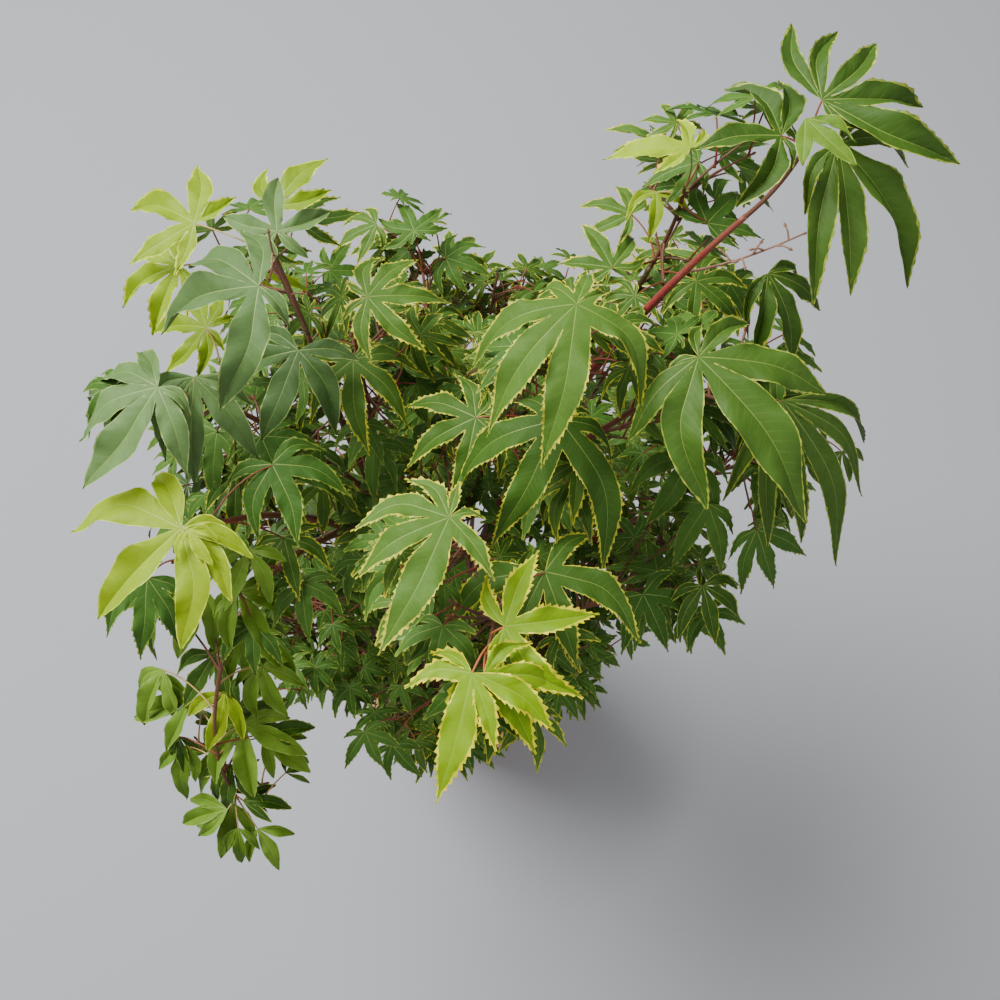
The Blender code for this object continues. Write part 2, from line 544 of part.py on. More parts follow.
class Growth:
    """The sticks and leaves of one mass."""

    def __init__(self, name, space, root, root_radius, direction, blocked):
        self.name = name
        self.mass = MASSES[name]
        self.space = space
        self.blocked = blocked
        self.rng = random.Random(self.mass.seed)
        self.sticks = []
        self.leaves = []
        self.blades = []
        self.wanted = len(self.mass.leaders) + self.mass.leaves
        start = root + direction * (GAP + STEM_LEAD)
        shoot = Vector(self.mass.shoot)
        bend = start + direction * (shoot - start).length / 2
        self.stem = [root + direction * GAP, *bend_path(start, bend, shoot)]
        self.radii = taper(root_radius, STEM_THIN, len(self.stem))

    def free(self, shapes):
        tree = tree_of(shapes)
        return not any(tree.overlap(other) for other in self.blocked)

    def fits(self, node, leaf):
        joint = Vector((leaf.x, leaf.y, leaf.z))
        if any((joint - Vector(other[:3])).length < JOINT_SPACING for other in self.leaves):
            return False
        if not self.space.holds_leaf(self.name, leaf):
            return False
        blade = tree_of([leaf_bmesh(leaf, CLEARANCE)])
        if any(blade.overlap(other) for other in self.blades):
            return False
        wide = PETIOLE_RADIUS + CLEARANCE
        return self.free([leaf_bmesh(leaf, CLEARANCE), stick_bmesh(node, joint, wide, wide)])

    def add_leaf(self, node, leaf):
        sink = lobe_point(leaf, leaf_frame(leaf), 180, leaf.length, PETIOLE_SINK)
        self.sticks.append((node, sink, PETIOLE_RADIUS, PETIOLE_TIP_RADIUS))
        self.leaves.append(leaf)
        self.blades.append(tree_of([leaf_bmesh(leaf)]))

    def add_leaders(self):
        """Each leading leaf hangs from the nearest joint of the stem, by a twig where that is far."""
        for leaf in self.mass.leaders:
            joint = Vector((leaf.x, leaf.y, leaf.z))
            node = min(self.stem[1:], key=lambda point: (point - joint).length)
            if (joint - node).length > LONGEST_PETIOLE:
                end = joint.lerp(node, PETIOLE_LENGTH / (joint - node).length) + DOWN * TWIG_SAG
                self.sticks.append((node, end, TWIG_RADIUS, TWIG_RADIUS))
                node = end.lerp(node, NODE_INSET / (end - node).length)
            self.add_leaf(node, leaf)

    def leaf_on(self, node, side, direction):
        out = (side * LEAN_OUT + direction * LEAN_ALONG - DOWN * LEAN_UP).normalized()
        joint = node + out * PETIOLE_LENGTH * self.rng.uniform(*PETIOLE_VARIES)
        length = self.mass.length * self.rng.uniform(*LENGTH_VARIES)
        heading = heading_of(out) + self.rng.uniform(-HEADING_VARIES, HEADING_VARIES)
        fall = self.rng.uniform(0, MOST_FALL)
        roll = self.rng.uniform(-ROLL_VARIES, ROLL_VARIES)
        hang = self.rng.uniform(*HANG_RANGE)
        leaf = Leaf(*joint, heading, fall, roll, length, RULE_LOBES, RULE_SPREAD, hang)
        if len(self.leaves) < self.wanted and self.fits(node, leaf):
            self.add_leaf(node, leaf)

    def add_twig(self, number):
        share = TWIG_START + TWIG_STRETCH * (GOLDEN_SHARE * number % 1)
        base = point_along(self.stem, share)
        bearing = GOLDEN_ANGLE * number + self.rng.uniform(-TWIG_WANDER, TWIG_WANDER)
        rise = self.rng.uniform(*TWIG_RISE)
        direction = Vector((math.cos(bearing), math.sin(bearing), rise)).normalized()
        nodes = MOST_INTERNODES
        while nodes and not self.space.holds(self.name, base + direction * INTERNODE * nodes):
            nodes -= 1
        if not nodes:
            return
        end = base + direction * INTERNODE * nodes
        wide = TWIG_RADIUS + CLEARANCE
        if not self.free([stick_bmesh(base, end, wide, wide)]):
            return
        level = direction.cross(DOWN).normalized()
        before = len(self.leaves)
        for i in range(1, nodes + 1):
            node = base + direction * (INTERNODE * i - NODE_INSET)
            turn = Matrix.Rotation(math.radians(0 if i % 2 else PAIR_TURN), 3, direction)
            for side in (1, -1):
                self.leaf_on(node, turn @ (level * side), direction)
        if len(self.leaves) > before:
            self.sticks.append((base, end, TWIG_RADIUS, TWIG_RADIUS))


def join(name, growth, collection, material):
    """One Boolean union of a mass's stem, sticks and leaves, with loose scraps dropped."""
    parts = bpy.data.collections.new(f"{name}_parts")
    bpy.context.scene.collection.children.link(parts)
    for start, end, thick, thin in growth.sticks:
        add_object("stick", mesh_from(stick_bmesh(start, end, thick, thin), "stick"), parts)
    for leaf in growth.leaves:
        add_object("leaf", mesh_from(leaf_bmesh(leaf), "leaf"), parts)
    stem = tube(name, growth.stem, growth.radii, 0, collection, material)
    union = stem.modifiers.new("Join", "BOOLEAN")
    union.operation = "UNION"
    union.solver = "MANIFOLD"
    union.operand_type = "COLLECTION"
    union.collection = parts
    bm = bmesh.new()
    bm.from_mesh(baked_mesh(stem, name))
    keep_largest_piece(bm)
    stem.modifiers.remove(union)
    bm.to_mesh(stem.data)
    bm.free()
    for obj in list(parts.objects):
        bpy.data.objects.remove(obj, do_unlink=True)
    bpy.data.collections.remove(parts)
    return stem


def keep_largest_piece(bm):
    left = set(bm.faces)
    largest = set()
    while left:
        piece = {left.pop()}
        edge_of_piece = set(piece)
        while edge_of_piece:
            near = {face for f in edge_of_piece for e in f.edges for face in e.link_faces} - piece
            piece |= near
            edge_of_piece = near
        left -= piece
        if len(piece) > len(largest):
            largest = piece
    bmesh.ops.delete(bm, geom=[face for face in bm.faces if face not in largest], context="FACES")


def mass_material(name, materials):
    if name in BRIGHT_MASSES:
        return materials["leaf_bright"]
    if name in GREY_MASSES:
        return materials["leaf_grey_green"]
    return materials["leaf_green"]


def make_masses(lines, limbs, collection):
    space = Space(lines)
    limb_shapes = []
    for limb in limbs.values():
        bm = bmesh.new()
        bm.from_mesh(limb.data)
        limb_shapes.append(bm)
    limb_tree = tree_of(limb_shapes)
    growths = {}
    for name, mass in MASSES.items():
        path, radii = lines[mass.bough]
        direction = (path[-1] - path[-2]).normalized()
        growths[name] = Growth(name, space, path[-1], radii[-1], direction, [])
        growths[name].add_leaders()
    trees = {name: growth_tree(growth) for name, growth in growths.items()}
    for name, growth in growths.items():
        growth.blocked = [limb_tree] + [tree for other, tree in trees.items() if other != name]
        for number in range(MOST_TWIGS):
            growth.add_twig(number)
        trees[name] = growth_tree(growth)
    names = ("leaf_green", "leaf_bright", "leaf_grey_green")
    materials = {key: make_material(key) for key in names}
    for name, growth in growths.items():
        join(name, growth, collection, mass_material(name, materials))


def growth_tree(growth):
    shapes = [leaf_bmesh(leaf) for leaf in growth.leaves]
    shapes += [stick_bmesh(*stick) for stick in growth.sticks]
    for start, end, radius in zip(growth.stem, growth.stem[1:], growth.radii):
        shapes.append(stick_bmesh(start, end, radius, radius))
    return tree_of(shapes)


def main():
    clear_scene()
    parts = make_collection("potted_japanese_maple")
    cutters = make_collection("cutters")
    make_pot(parts, cutters)
    make_soil(parts)
    lines = limb_lines()
    limbs = make_limbs(lines, parts, cutters)
    make_masses(lines, limbs, parts)
    bpy.context.view_layer.update()


if __name__ == "__main__":
    main()
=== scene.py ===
"""Looks of a small potted Japanese maple: clay pot, soil, bark, twigs and lobed leaves.

Metres, +Z up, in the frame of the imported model. Boughs, twigs and leaves grow by the same rule
as the solids they replace, carried to finer twigs and smaller leaves.
"""

import functools
import json
import math
import random
from collections import namedtuple

import bmesh
import bpy
import numpy as np
from bpy.props import FloatProperty, FloatVectorProperty, IntProperty, PointerProperty
from mathutils import Matrix, Vector, noise
from mathutils.bvhtree import BVHTree

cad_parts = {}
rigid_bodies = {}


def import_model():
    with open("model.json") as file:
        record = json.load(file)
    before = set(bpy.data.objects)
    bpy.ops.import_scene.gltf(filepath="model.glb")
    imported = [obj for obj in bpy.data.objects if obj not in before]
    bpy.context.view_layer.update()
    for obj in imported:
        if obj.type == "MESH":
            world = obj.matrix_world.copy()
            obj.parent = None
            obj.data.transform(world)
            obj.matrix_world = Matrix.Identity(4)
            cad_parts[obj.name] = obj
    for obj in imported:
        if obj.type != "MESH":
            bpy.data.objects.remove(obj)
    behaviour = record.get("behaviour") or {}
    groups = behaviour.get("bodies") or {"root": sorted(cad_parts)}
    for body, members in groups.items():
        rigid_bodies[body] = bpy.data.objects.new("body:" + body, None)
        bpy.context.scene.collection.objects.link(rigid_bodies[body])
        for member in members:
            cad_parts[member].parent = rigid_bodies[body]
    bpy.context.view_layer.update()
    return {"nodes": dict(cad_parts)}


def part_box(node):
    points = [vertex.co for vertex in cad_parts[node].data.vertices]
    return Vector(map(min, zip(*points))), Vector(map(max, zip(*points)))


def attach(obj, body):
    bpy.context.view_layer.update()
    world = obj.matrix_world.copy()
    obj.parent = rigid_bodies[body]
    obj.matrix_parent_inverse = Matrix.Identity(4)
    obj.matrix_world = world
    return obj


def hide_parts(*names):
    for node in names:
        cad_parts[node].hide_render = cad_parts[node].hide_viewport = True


bl_info = {
    "name": "Potted Japanese Maple",
    "version": (1, 0, 0),
    "blender": (4, 5, 0),
    "location": "View3D > Sidebar > Maple",
    "description": "Builds the pot, soil, bark, twigs and leaves of a small potted maple",
    "category": "Object",
}

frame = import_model()
BODY = "root"
MOST_TRIANGLES = 180000  # in one piece

# ------------------------ limbs, as in the solids

POT_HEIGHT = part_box("pot")[1].z
SOIL_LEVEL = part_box("soil")[1].z
TRUNK_TIP = Vector((0.006, -0.022, 0.400))
TRUNK_BEND = Vector((0.0, 0.004, 0.310))
TRUNK_THICK = 0.0110
TRUNK_THIN = 0.0082
FLARE_THICK = 0.0200
FLARE_HEIGHT = 0.030
FLARE_STEPS = 4
LIMB_STEP = 0.070
LEAST_LIMB_STEPS = 3
FINER = 12  # times as many steps along a limb as the solids have
BOUGH_TIP_RADIUS = 0.0013  # a little thinner than the solids, which are 0.0019 there

Bough = namedtuple("Bough", "parent along bend tip thick")
BOUGHS = {
    "bough_right": Bough("trunk", 1.0, (0.038, -0.013, 0.800), (0.150, 0.026, 0.945), 0.0058),
    "bough_left": Bough("trunk", 1.0, (-0.035, -0.030, 0.620), (-0.058, 0.020, 0.850), 0.0055),
    "bough_front": Bough("bough_right", 0.16, (0.030, -0.080, 0.640), (0.040, -0.125, 0.840), 0.0042),
    "bough_front_centre": Bough("bough_front", 0.6, (0.020, -0.075, 0.770), (0.028, -0.085, 0.830), 0.0026),
    "bough_centre": Bough("bough_right", 0.50, (0.056, -0.026, 0.790), (0.066, -0.030, 0.840), 0.0028),
    "bough_right_side": Bough("bough_right", 0.46, (0.085, -0.015, 0.780), (0.118, -0.018, 0.850), 0.0030),
    "bough_right_inner": Bough("bough_right", 0.56, (0.098, 0.035, 0.800), (0.122, 0.060, 0.850), 0.0028),
    "bough_left_side": Bough("bough_left", 0.62, (-0.070, -0.014, 0.790), (-0.092, -0.020, 0.840), 0.0027),
    "bough_left_front": Bough("bough_left", 0.36, (-0.062, -0.034, 0.760), (-0.098, -0.085, 0.850), 0.0034),
    "bough_hanging": Bough("bough_left_front", 0.4, (-0.095, -0.09, 0.80), (-0.112, -0.135, 0.755), 0.0025),
    "bough_back_centre": Bough("bough_left", 0.48, (-0.034, 0.004, 0.720), (-0.034, 0.012, 0.780), 0.0028),
    "bough_back": Bough("trunk", 0.84, (-0.006, 0.070, 0.520), (-0.006, 0.105, 0.660), 0.0040),
    "bough_middle": Bough("bough_right", 0.22, (0.004, -0.034, 0.590), (0.006, -0.034, 0.660), 0.0028),
    "bough_low_front": Bough("trunk", 0.72, (0.000, -0.056, 0.410), (0.000, -0.075, 0.490), 0.0034),
    "bough_low_front_left": Bough("bough_left", 0.1, (-0.034, -0.048, 0.48), (-0.055, -0.058, 0.52), 0.003),
    "bough_low_left": Bough("bough_left", 0.24, (-0.055, -0.010, 0.540), (-0.085, 0.000, 0.580), 0.0030),
    "bough_low_back_left": Bough("trunk", 0.94, (-0.034, 0.034, 0.460), (-0.060, 0.060, 0.550), 0.0036),
    "bough_low_back": Bough("trunk", 0.62, (0.018, 0.056, 0.410), (0.022, 0.090, 0.520), 0.0036),
    "bough_low_back_right": Bough("bough_right", 0.12, (0.052, 0.03, 0.52), (0.085, 0.065, 0.58), 0.0034),
    "bough_low_right": Bough("bough_right", 0.28, (0.070, -0.012, 0.550), (0.108, -0.010, 0.600), 0.0032),
    "bough_low_front_right": Bough("trunk", 0.90, (0.036, -0.052, 0.450), (0.062, -0.062, 0.540), 0.0034),
}

RED_LIMBS = ("bough_right", "bough_front")  # the others have browner bark

# ------------------------ masses of foliage

# Leaves: joint, heading from +X towards +Y, fall of the middle lobe, roll (all three in degrees), length
# of the middle lobe, number of lobes, angle between them (degrees), how far they hang, tint, the name of
# its shape in SHAPES if its lobes are uneven, and their width as a share of its tint's
Leaf = namedtuple(
    "Leaf", "x y z heading fall roll length lobes spread hang tint shape slim", defaults=(None, 1.0))

# Masses: bough, tip of the leading shoot, how far leaves reach from the stem, leaves grown by the rule,
# their length, seed, the tints of their sprays, the leading leaves, which are set one by one, and how
# much steeper than elsewhere the leaves fall (degrees)
Mass = namedtuple("Mass", "bough shoot reach leaves length seed tints leaders steeper", defaults=(0,))
MASSES = {
    "top_right": Mass("bough_right", (0.172, 0.044, 0.972), 0.085, 0, 0.04, 1, ("smooth",), (
        Leaf(0.175, 0.055, 0.985, 40, -8, 0, 0.063, 5, 38, 0.25, "smooth", "fan", 0.88),
        Leaf(0.185, 0.045, 0.97, -52, 15, 0, 0.073, 5, 38, 0.65, "smooth", "drooping", 0.88),
        Leaf(0.16, 0.045, 0.975, 185, -10, 0, 0.045, 5, 48, 0.35, "smooth", "split"),
        Leaf(0.165, 0.04, 0.992, -60, -10, 0, 0.034, 3, 34, 0.2, "fresh"),
    )),
    "right_inner": Mass("bough_right_inner", (0.132, 0.07, 0.905), 0.065, 24, 0.032, 2, ("deep", "mid"), (
        Leaf(0.13, 0.07, 0.935, 130, 0, 0, 0.045, 5, 46, 0.4, "yellow", "lopsided"),
        Leaf(0.145, 0.06, 0.89, 50, 0, 0, 0.038, 5, 42, 0.4, "deep"),
        Leaf(0.115, 0.1, 0.84, 150, 0, 0, 0.038, 5, 44, 0.5, "mid"),
        Leaf(0.1, 0.05, 0.865, 110, 0, 0, 0.036, 5, 45, 0.4, "mid"),
        Leaf(0.12, 0.075, 0.895, 265, 5, 0, 0.026, 3, 60, 0.3, "yellow"),
        Leaf(0.14, 0.085, 0.905, 190, 10, 0, 0.03, 5, 40, 0.5, "deep"),
    )),
    "right": Mass("bough_right_side", (0.158, -0.03, 0.868), 0.062, 24, 0.034, 3, ("deep",), (
        Leaf(0.13, -0.03, 0.92, -36, 0, 5, 0.094, 7, 44, 0.55, "smooth", "large"),
        Leaf(0.178, -0.03, 0.875, -72, 30, 0, 0.088, 7, 22, 0.95, "smooth", "mane", 0.72),
        Leaf(0.17, 0.025, 0.9, -50, 25, 0, 0.046, 5, 35, 0.7, "smooth"),
        Leaf(0.184, -0.064, 0.78, -60, 30, 0, 0.044, 5, 38, 0.8, "deep"),
    )),
    "centre": Mass("bough_centre", (0.07, -0.024, 0.9), 0.06, 20, 0.034, 4, ("deep", "mid"), (
        Leaf(0.075, -0.015, 0.94, 226, -5, 0, 0.082, 7, 45, 0.95, "mid", "claw", 0.94),
        Leaf(0.07, -0.045, 0.885, 240, 5, 0, 0.08, 7, 44, 1.0, "mid", "skirt", 0.92),
        Leaf(0.03, -0.03, 0.855, 205, 5, 0, 0.052, 7, 46, 0.5, "mid"),
    )),
    "front_centre": Mass("bough_front_centre", (0.026, -0.094, 0.868), 0.06, 20, 0.032, 5, ("deep", "mid"), (
        Leaf(0.02, -0.1, 0.905, 248, -5, 0, 0.071, 7, 50, 0.35, "mid", "dart"),
    )),
    "front": Mass("bough_front", (0.037, -0.15, 0.875), 0.052, 16, 0.03, 6, ("deep", "mid"), (
        Leaf(0.03, -0.165, 0.89, -103, 5, 0, 0.06, 5, 50, 0.35, "new", "tongue"),
        Leaf(0.035, -0.165, 0.885, -52, 15, 0, 0.044, 5, 45, 0.3, "new"),
        Leaf(0.044, -0.142, 0.878, 6, 0, 0, 0.05, 5, 50, 0.25, "new"),
        Leaf(0.064, -0.105, 0.838, -70, 5, 0, 0.066, 5, 46, 0.55, "mid", "cross"),
    )),
    "upper_left": Mass("bough_left", (-0.068, 0.04, 0.89), 0.068, 24, 0.032, 7, ("mid", "yellow", "deep"), (
        Leaf(-0.065, 0.0, 0.93, 198, 0, 0, 0.062, 5, 47, 0.5, "grey", "oar"),
        Leaf(-0.11, 0.06, 0.89, 150, 0, 0, 0.046, 5, 48, 0.35, "yellow"),
        Leaf(-0.12, 0.045, 0.875, 200, 5, 0, 0.046, 5, 40, 0.5, "yellow"),
        Leaf(-0.065, 0.045, 0.905, 95, -10, 0, 0.034, 5, 62, 0.35, "grey"),
        Leaf(-0.075, 0.08, 0.875, 62, -10, 0, 0.046, 3, 45, 0.35, "yellow"),
        Leaf(-0.065, 0.085, 0.855, 10, 0, 0, 0.038, 3, 38, 0.3, "mid"),
    )),
    "left": Mass("bough_left_side", (-0.108, -0.028, 0.874), 0.05, 24, 0.032, 8, ("grey", "deep", "fresh"), (
        Leaf(-0.115, -0.035, 0.9, 220, 5, 0, 0.064, 7, 42, 0.55, "grey", "shell"),
        Leaf(-0.105, -0.02, 0.88, -92, 20, 0, 0.054, 5, 34, 0.7, "grey"),
        Leaf(-0.12, 0.04, 0.82, 170, 10, 0, 0.044, 7, 45, 0.5, "yellow"),
        Leaf(-0.11, -0.02, 0.815, -100, 15, 0, 0.042, 5, 44, 0.5, "deep"),
        Leaf(-0.085, -0.025, 0.82, -60, 10, 0, 0.04, 5, 44, 0.5, "deep"),
        Leaf(-0.1, -0.04, 0.805, -90, 15, 0, 0.036, 5, 44, 0.5, "mid"),
    )),
    "left_front": Mass("bough_left_front", (-0.106, -0.096, 0.862), 0.052, 26, 0.032, 9, ("deep", "fresh"), (
        Leaf(-0.105, -0.095, 0.875, 224, 0, 0, 0.064, 7, 46, 0.45, "lime", "star"),
        Leaf(-0.1, -0.098, 0.882, 300, 10, 0, 0.022, 3, 50, 0.3, "lime"),
        Leaf(-0.07, -0.055, 0.855, -62, 5, 0, 0.048, 5, 46, 0.4, "deep"),
        Leaf(-0.14, -0.1, 0.81, -100, 20, 0, 0.048, 5, 36, 0.7, "deep"),
        Leaf(-0.07, -0.08, 0.815, -70, 10, 0, 0.036, 5, 44, 0.5, "mid"),
        Leaf(-0.085, -0.09, 0.825, -110, 15, 0, 0.034, 5, 44, 0.5, "fresh"),
        Leaf(-0.062, -0.1, 0.8, -80, 10, 0, 0.036, 5, 44, 0.5, "deep"),
        Leaf(-0.095, -0.105, 0.8, -60, 20, 0, 0.036, 5, 40, 0.5, "fresh"),
        Leaf(-0.088, -0.12, 0.79, -95, 20, 0, 0.034, 5, 42, 0.5, "deep"),
    )),
    "left_hanging": Mass(
        "bough_hanging", (-0.122, -0.196, 0.655), 0.05, 36, 0.036, 10, ("fresh", "fresh", "smooth"), (
            Leaf(-0.14, -0.145, 0.71, 195, 20, 0, 0.05, 3, 40, 0.5, "fresh"),
            Leaf(-0.11, -0.16, 0.705, -80, 20, 0, 0.05, 5, 44, 0.4, "fresh"),
            Leaf(-0.13, -0.17, 0.68, -125, 20, 0, 0.04, 3, 38, 0.6, "fresh"),
            Leaf(-0.125, -0.2, 0.645, -100, 25, 0, 0.042, 3, 42, 0.5, "fresh"),
            Leaf(-0.11, -0.215, 0.64, -60, 25, 0, 0.036, 3, 42, 0.5, "fresh"),
            Leaf(-0.12, -0.095, 0.78, -119, 25, 0, 0.05, 3, 38, 0.6, "fresh"),
            Leaf(-0.145, -0.095, 0.77, -122, 30, 0, 0.048, 3, 36, 0.7, "smooth"),
            Leaf(-0.12, -0.125, 0.74, -128, 25, 0, 0.046, 3, 40, 0.5, "smooth"),
            Leaf(-0.105, -0.115, 0.74, -70, 25, 0, 0.044, 5, 40, 0.5, "fresh"),
            Leaf(-0.155, -0.13, 0.72, -120, 25, 10, 0.044, 3, 36, 0.6, "fresh"),
            Leaf(-0.115, -0.145, 0.73, -105, 20, 0, 0.04, 3, 42, 0.4, "lime"),
            Leaf(-0.095, -0.13, 0.73, -70, 25, 0, 0.034, 5, 40, 0.5, "fresh"),
            Leaf(-0.145, -0.17, 0.69, -115, 30, -15, 0.038, 3, 34, 0.6, "fresh"),
            Leaf(-0.15, -0.165, 0.695, -70, 30, 10, 0.03, 3, 34, 0.6, "smooth"),
            Leaf(-0.1, -0.165, 0.7, 15, 10, 0, 0.034, 3, 38, 0.5, "smooth"),
            Leaf(-0.1, -0.165, 0.69, -32, 20, 0, 0.036, 3, 34, 0.5, "fresh"),
            Leaf(-0.12, -0.18, 0.68, -100, 35, 0, 0.042, 5, 28, 0.6, "smooth"),
            Leaf(-0.125, -0.205, 0.66, -167, 15, 0, 0.042, 3, 30, 0.4, "fresh"),
            Leaf(-0.12, -0.215, 0.65, -90, 35, 0, 0.03, 3, 36, 0.6, "fresh"),
            Leaf(-0.115, -0.2, 0.665, 0, 20, 0, 0.03, 3, 30, 0.4, "smooth"),
        ), 32),
    "back_centre": Mass("bough_back_centre", (-0.034, 0.018, 0.84), 0.07, 32, 0.034, 11, ("mid", "deep"), (
        Leaf(-0.025, 0.03, 0.87, 2, 0, 0, 0.048, 7, 44, 0.45, "mid"),
        Leaf(-0.06, 0.005, 0.86, 252, 10, 0, 0.052, 5, 50, 0.5, "grey"),
        Leaf(-0.035, 0.01, 0.84, 270, 5, 0, 0.052, 7, 44, 0.5, "mid"),
        Leaf(-0.08, -0.035, 0.805, -62, 10, 0, 0.052, 5, 45, 0.5, "deep"),
    )),
    "back": Mass("bough_back", (-0.01, 0.14, 0.715), 0.06, 36, 0.032, 12, ("deep", "mid"), (
        Leaf(-0.015, 0.16, 0.735, 110, 0, 0, 0.034, 7, 48, 0.35, "deep"),
        Leaf(0.005, 0.155, 0.71, -15, 0, 0, 0.036, 7, 45, 0.5, "deep"),
        Leaf(-0.04, 0.165, 0.735, 200, 5, 0, 0.036, 5, 40, 0.5, "mid"),
    )),
    "middle": Mass("bough_middle", (0.02, -0.03, 0.8), 0.08, 80, 0.033, 13, ("deep", "mid"), ()),
    "low_front": Mass("bough_low_front", (0.0, -0.125, 0.6), 0.075, 96, 0.028, 14, ("deep", "mid"), (
        Leaf(-0.045, -0.155, 0.64, -70, 15, 0, 0.03, 5, 46, 0.45, "deep"),
        Leaf(-0.03, -0.16, 0.615, -50, 20, 0, 0.03, 5, 46, 0.45, "deep"),
    )),
    "low_front_left": Mass(
        "bough_low_front_left", (-0.1, -0.085, 0.665), 0.075, 90, 0.028, 15, ("deep",), ()),
    "low_left": Mass("bough_low_left", (-0.145, 0.005, 0.73), 0.072, 84, 0.03, 16, ("deep", "grey"), ()),
    "low_back_left": Mass(
        "bough_low_back_left", (-0.105, 0.11, 0.72), 0.085, 80, 0.032, 17, ("deep", "mid"), ()),
    "low_back": Mass("bough_low_back", (0.04, 0.16, 0.68), 0.062, 80, 0.032, 18, ("deep", "mid"), ()),
    "low_back_right": Mass(
        "bough_low_back_right", (0.14, 0.105, 0.745), 0.085, 80, 0.032, 19, ("deep", "mid"), ()),
    "low_right": Mass(
        "bough_low_right", (0.18, -0.01, 0.74), 0.074, 100, 0.03, 20, ("deep", "smooth"), ()),
    "low_front_right": Mass(
        "bough_low_front_right", (0.105, -0.085, 0.7), 0.075, 100, 0.028, 21, ("deep",), (
            Leaf(0.15, -0.02, 0.78, -115, 15, 0, 0.048, 5, 44, 0.5, "deep"),
            Leaf(0.16, -0.045, 0.77, -130, 20, 0, 0.044, 5, 42, 0.5, "deep"),
            Leaf(0.125, -0.09, 0.74, -60, 20, 0, 0.044, 5, 46, 0.5, "deep"),
            Leaf(0.16, -0.085, 0.74, -75, 20, 0, 0.04, 5, 42, 0.5, "smooth"),
        )),
}

# Last year's flower stalks, dry and bare: the mass and the bough that each stands in, the places of its
# bend and its tip, and how many side stalks it has.
DRY_TWIGS = (
    ("right_inner", "bough_right", (0.155, 0.035, 0.89), (0.185, 0.04, 0.91), 7),
    ("upper_left", "bough_left", (-0.06, 0.01, 0.925), (-0.06, 0.02, 0.94), 3),
)

# Gaps of the crown, through which the ground is seen: a place, and how wide the gap is there. Each
# runs on in a straight line from the viewpoint, and twigs and leaves grown by the rule keep out.
VIEWPOINT = Vector((0.042, -0.254, 1.35))
OPENINGS = (
    ((0.04, 0.16, 0.75), 0.016),
    ((0.07, 0.155, 0.75), 0.019),
    ((-0.212, 0.005, 0.8), 0.016),
    ((-0.2, -0.03, 0.8), 0.011),
    ((-0.21, -0.08, 0.75), 0.018),
    ((-0.195, -0.14, 0.72), 0.022),
    ((0.255, 0.005, 0.8), 0.018),
    ((0.23, 0.015, 0.85), 0.019),
    ((-0.105, -0.005, 0.78), 0.009),
    ((-0.05, 0.12, 0.8), 0.01),
    ((0.19, 0.07, 0.85), 0.013),
    ((-0.075, -0.155, 0.65), 0.011),
    ((0.14, -0.13, 0.65), 0.021),
    ((-0.145, -0.08, 0.86), 0.013),
)

# Leaves that the rule grows
RULE_SPREAD = 46
LEAN_OUT, LEAN_ALONG, LEAN_UP = 0.8, 0.5, 0.45  # a petiole leaves its twig this way
PETIOLE_LENGTH = 0.020
PETIOLE_VARIES = (0.80, 1.25)
LENGTH_VARIES = (0.75, 1.15)
HEADING_VARIES = 22
ROLL_VARIES = 16
MOST_FALL = 38
HANG_RANGE = (0.35, 0.80)

# Twigs
INTERNODE = 0.021
MOST_INTERNODES = 3
MOST_TWIGS = 380  # tried in each mass
NODE_INSET = 0.002
LONGEST_PETIOLE = 0.050
LEADER_PETIOLE = 0.024
TWIG_SAG = 0.006
TWIG_START, TWIG_STRETCH = 0.08, 0.88  # share of the stem below the first twig, and with twigs
TWIGGY_SHARE = 0.45  # of a bough, below its tip
BOUGH_TURN = 3  # every third twig stands on the bough
BASE_CLEAR = 0.007
TWIG_WANDER = 0.4
TWIG_RISE = (-0.5, 0.7)
TWIG_STEPS = 4  # between two joints
TWIG_SWAY = 0.03  # of its length
PAIR_TURN = 65  # degrees, every second pair of leaves round its twig
SIDE_ALONG, SIDE_OUT, SIDE_UP = 0.75, 0.75, 0.1  # a finer twig leaves its twig this way
SIDE_SCALE = 0.85  # of its leaves
GOLDEN_ANGLE = math.radians(137.5)
GOLDEN_SHARE = 0.618
CLEARANCE = 0.0012
JOINT_SPACING = 0.011
TIP_REACH = 1.25
BRIGHTEST = Vector((0.04, -0.25, 1.35))  # where most light comes from, seen from the crown
SHADE_REACH, SHADE_OWN, SHADE_SLACK = 0.60, 0.45, 0.18  # shares of a leaf's length
STEM_LEAD = 0.004
STEM_THIN = 0.0010
STEM_FINER, DRY_FINER = 4, 2  # times as many steps as a limb has
TWIG_THICK, TWIG_THIN = 0.0008, 0.0005
PETIOLE_THICK, PETIOLE_THIN = 0.00055, 0.00042
PETIOLE_STEPS = 6
PETIOLE_ARCH, PETIOLE_LAG = 0.16, 0.15  # up, and back along the leaf, as shares of its length
JOINT_DEPTH = 0.6  # of a petiole's radius, below the blade
JOINT_LAP = 0.0006
NODE_SWELL, NEXT_SWELL = 1.35, 1.08  # at a joint, and one step on
BUD_LENGTH = 0.0022
BUD_THICK = 0.0009
BUD_STEPS = ((0.3, 0.6), (0.3, 1.0), (0.3, 0.75), (0.5, 0.12))  # length and thickness of each step
DRY_START = 0.35  # share of a dry stalk that is bare
DRY_RISE = 0.5  # how far its side stalks rise, for each step out
DRY_LENGTH = 0.006
DRY_BEND, DRY_LIFT = 0.6, 0.001  # share of a side stalk before its bend, and how high that stands
DOWN = Vector((0, 0, -1))

# ------------------------ leaf shape

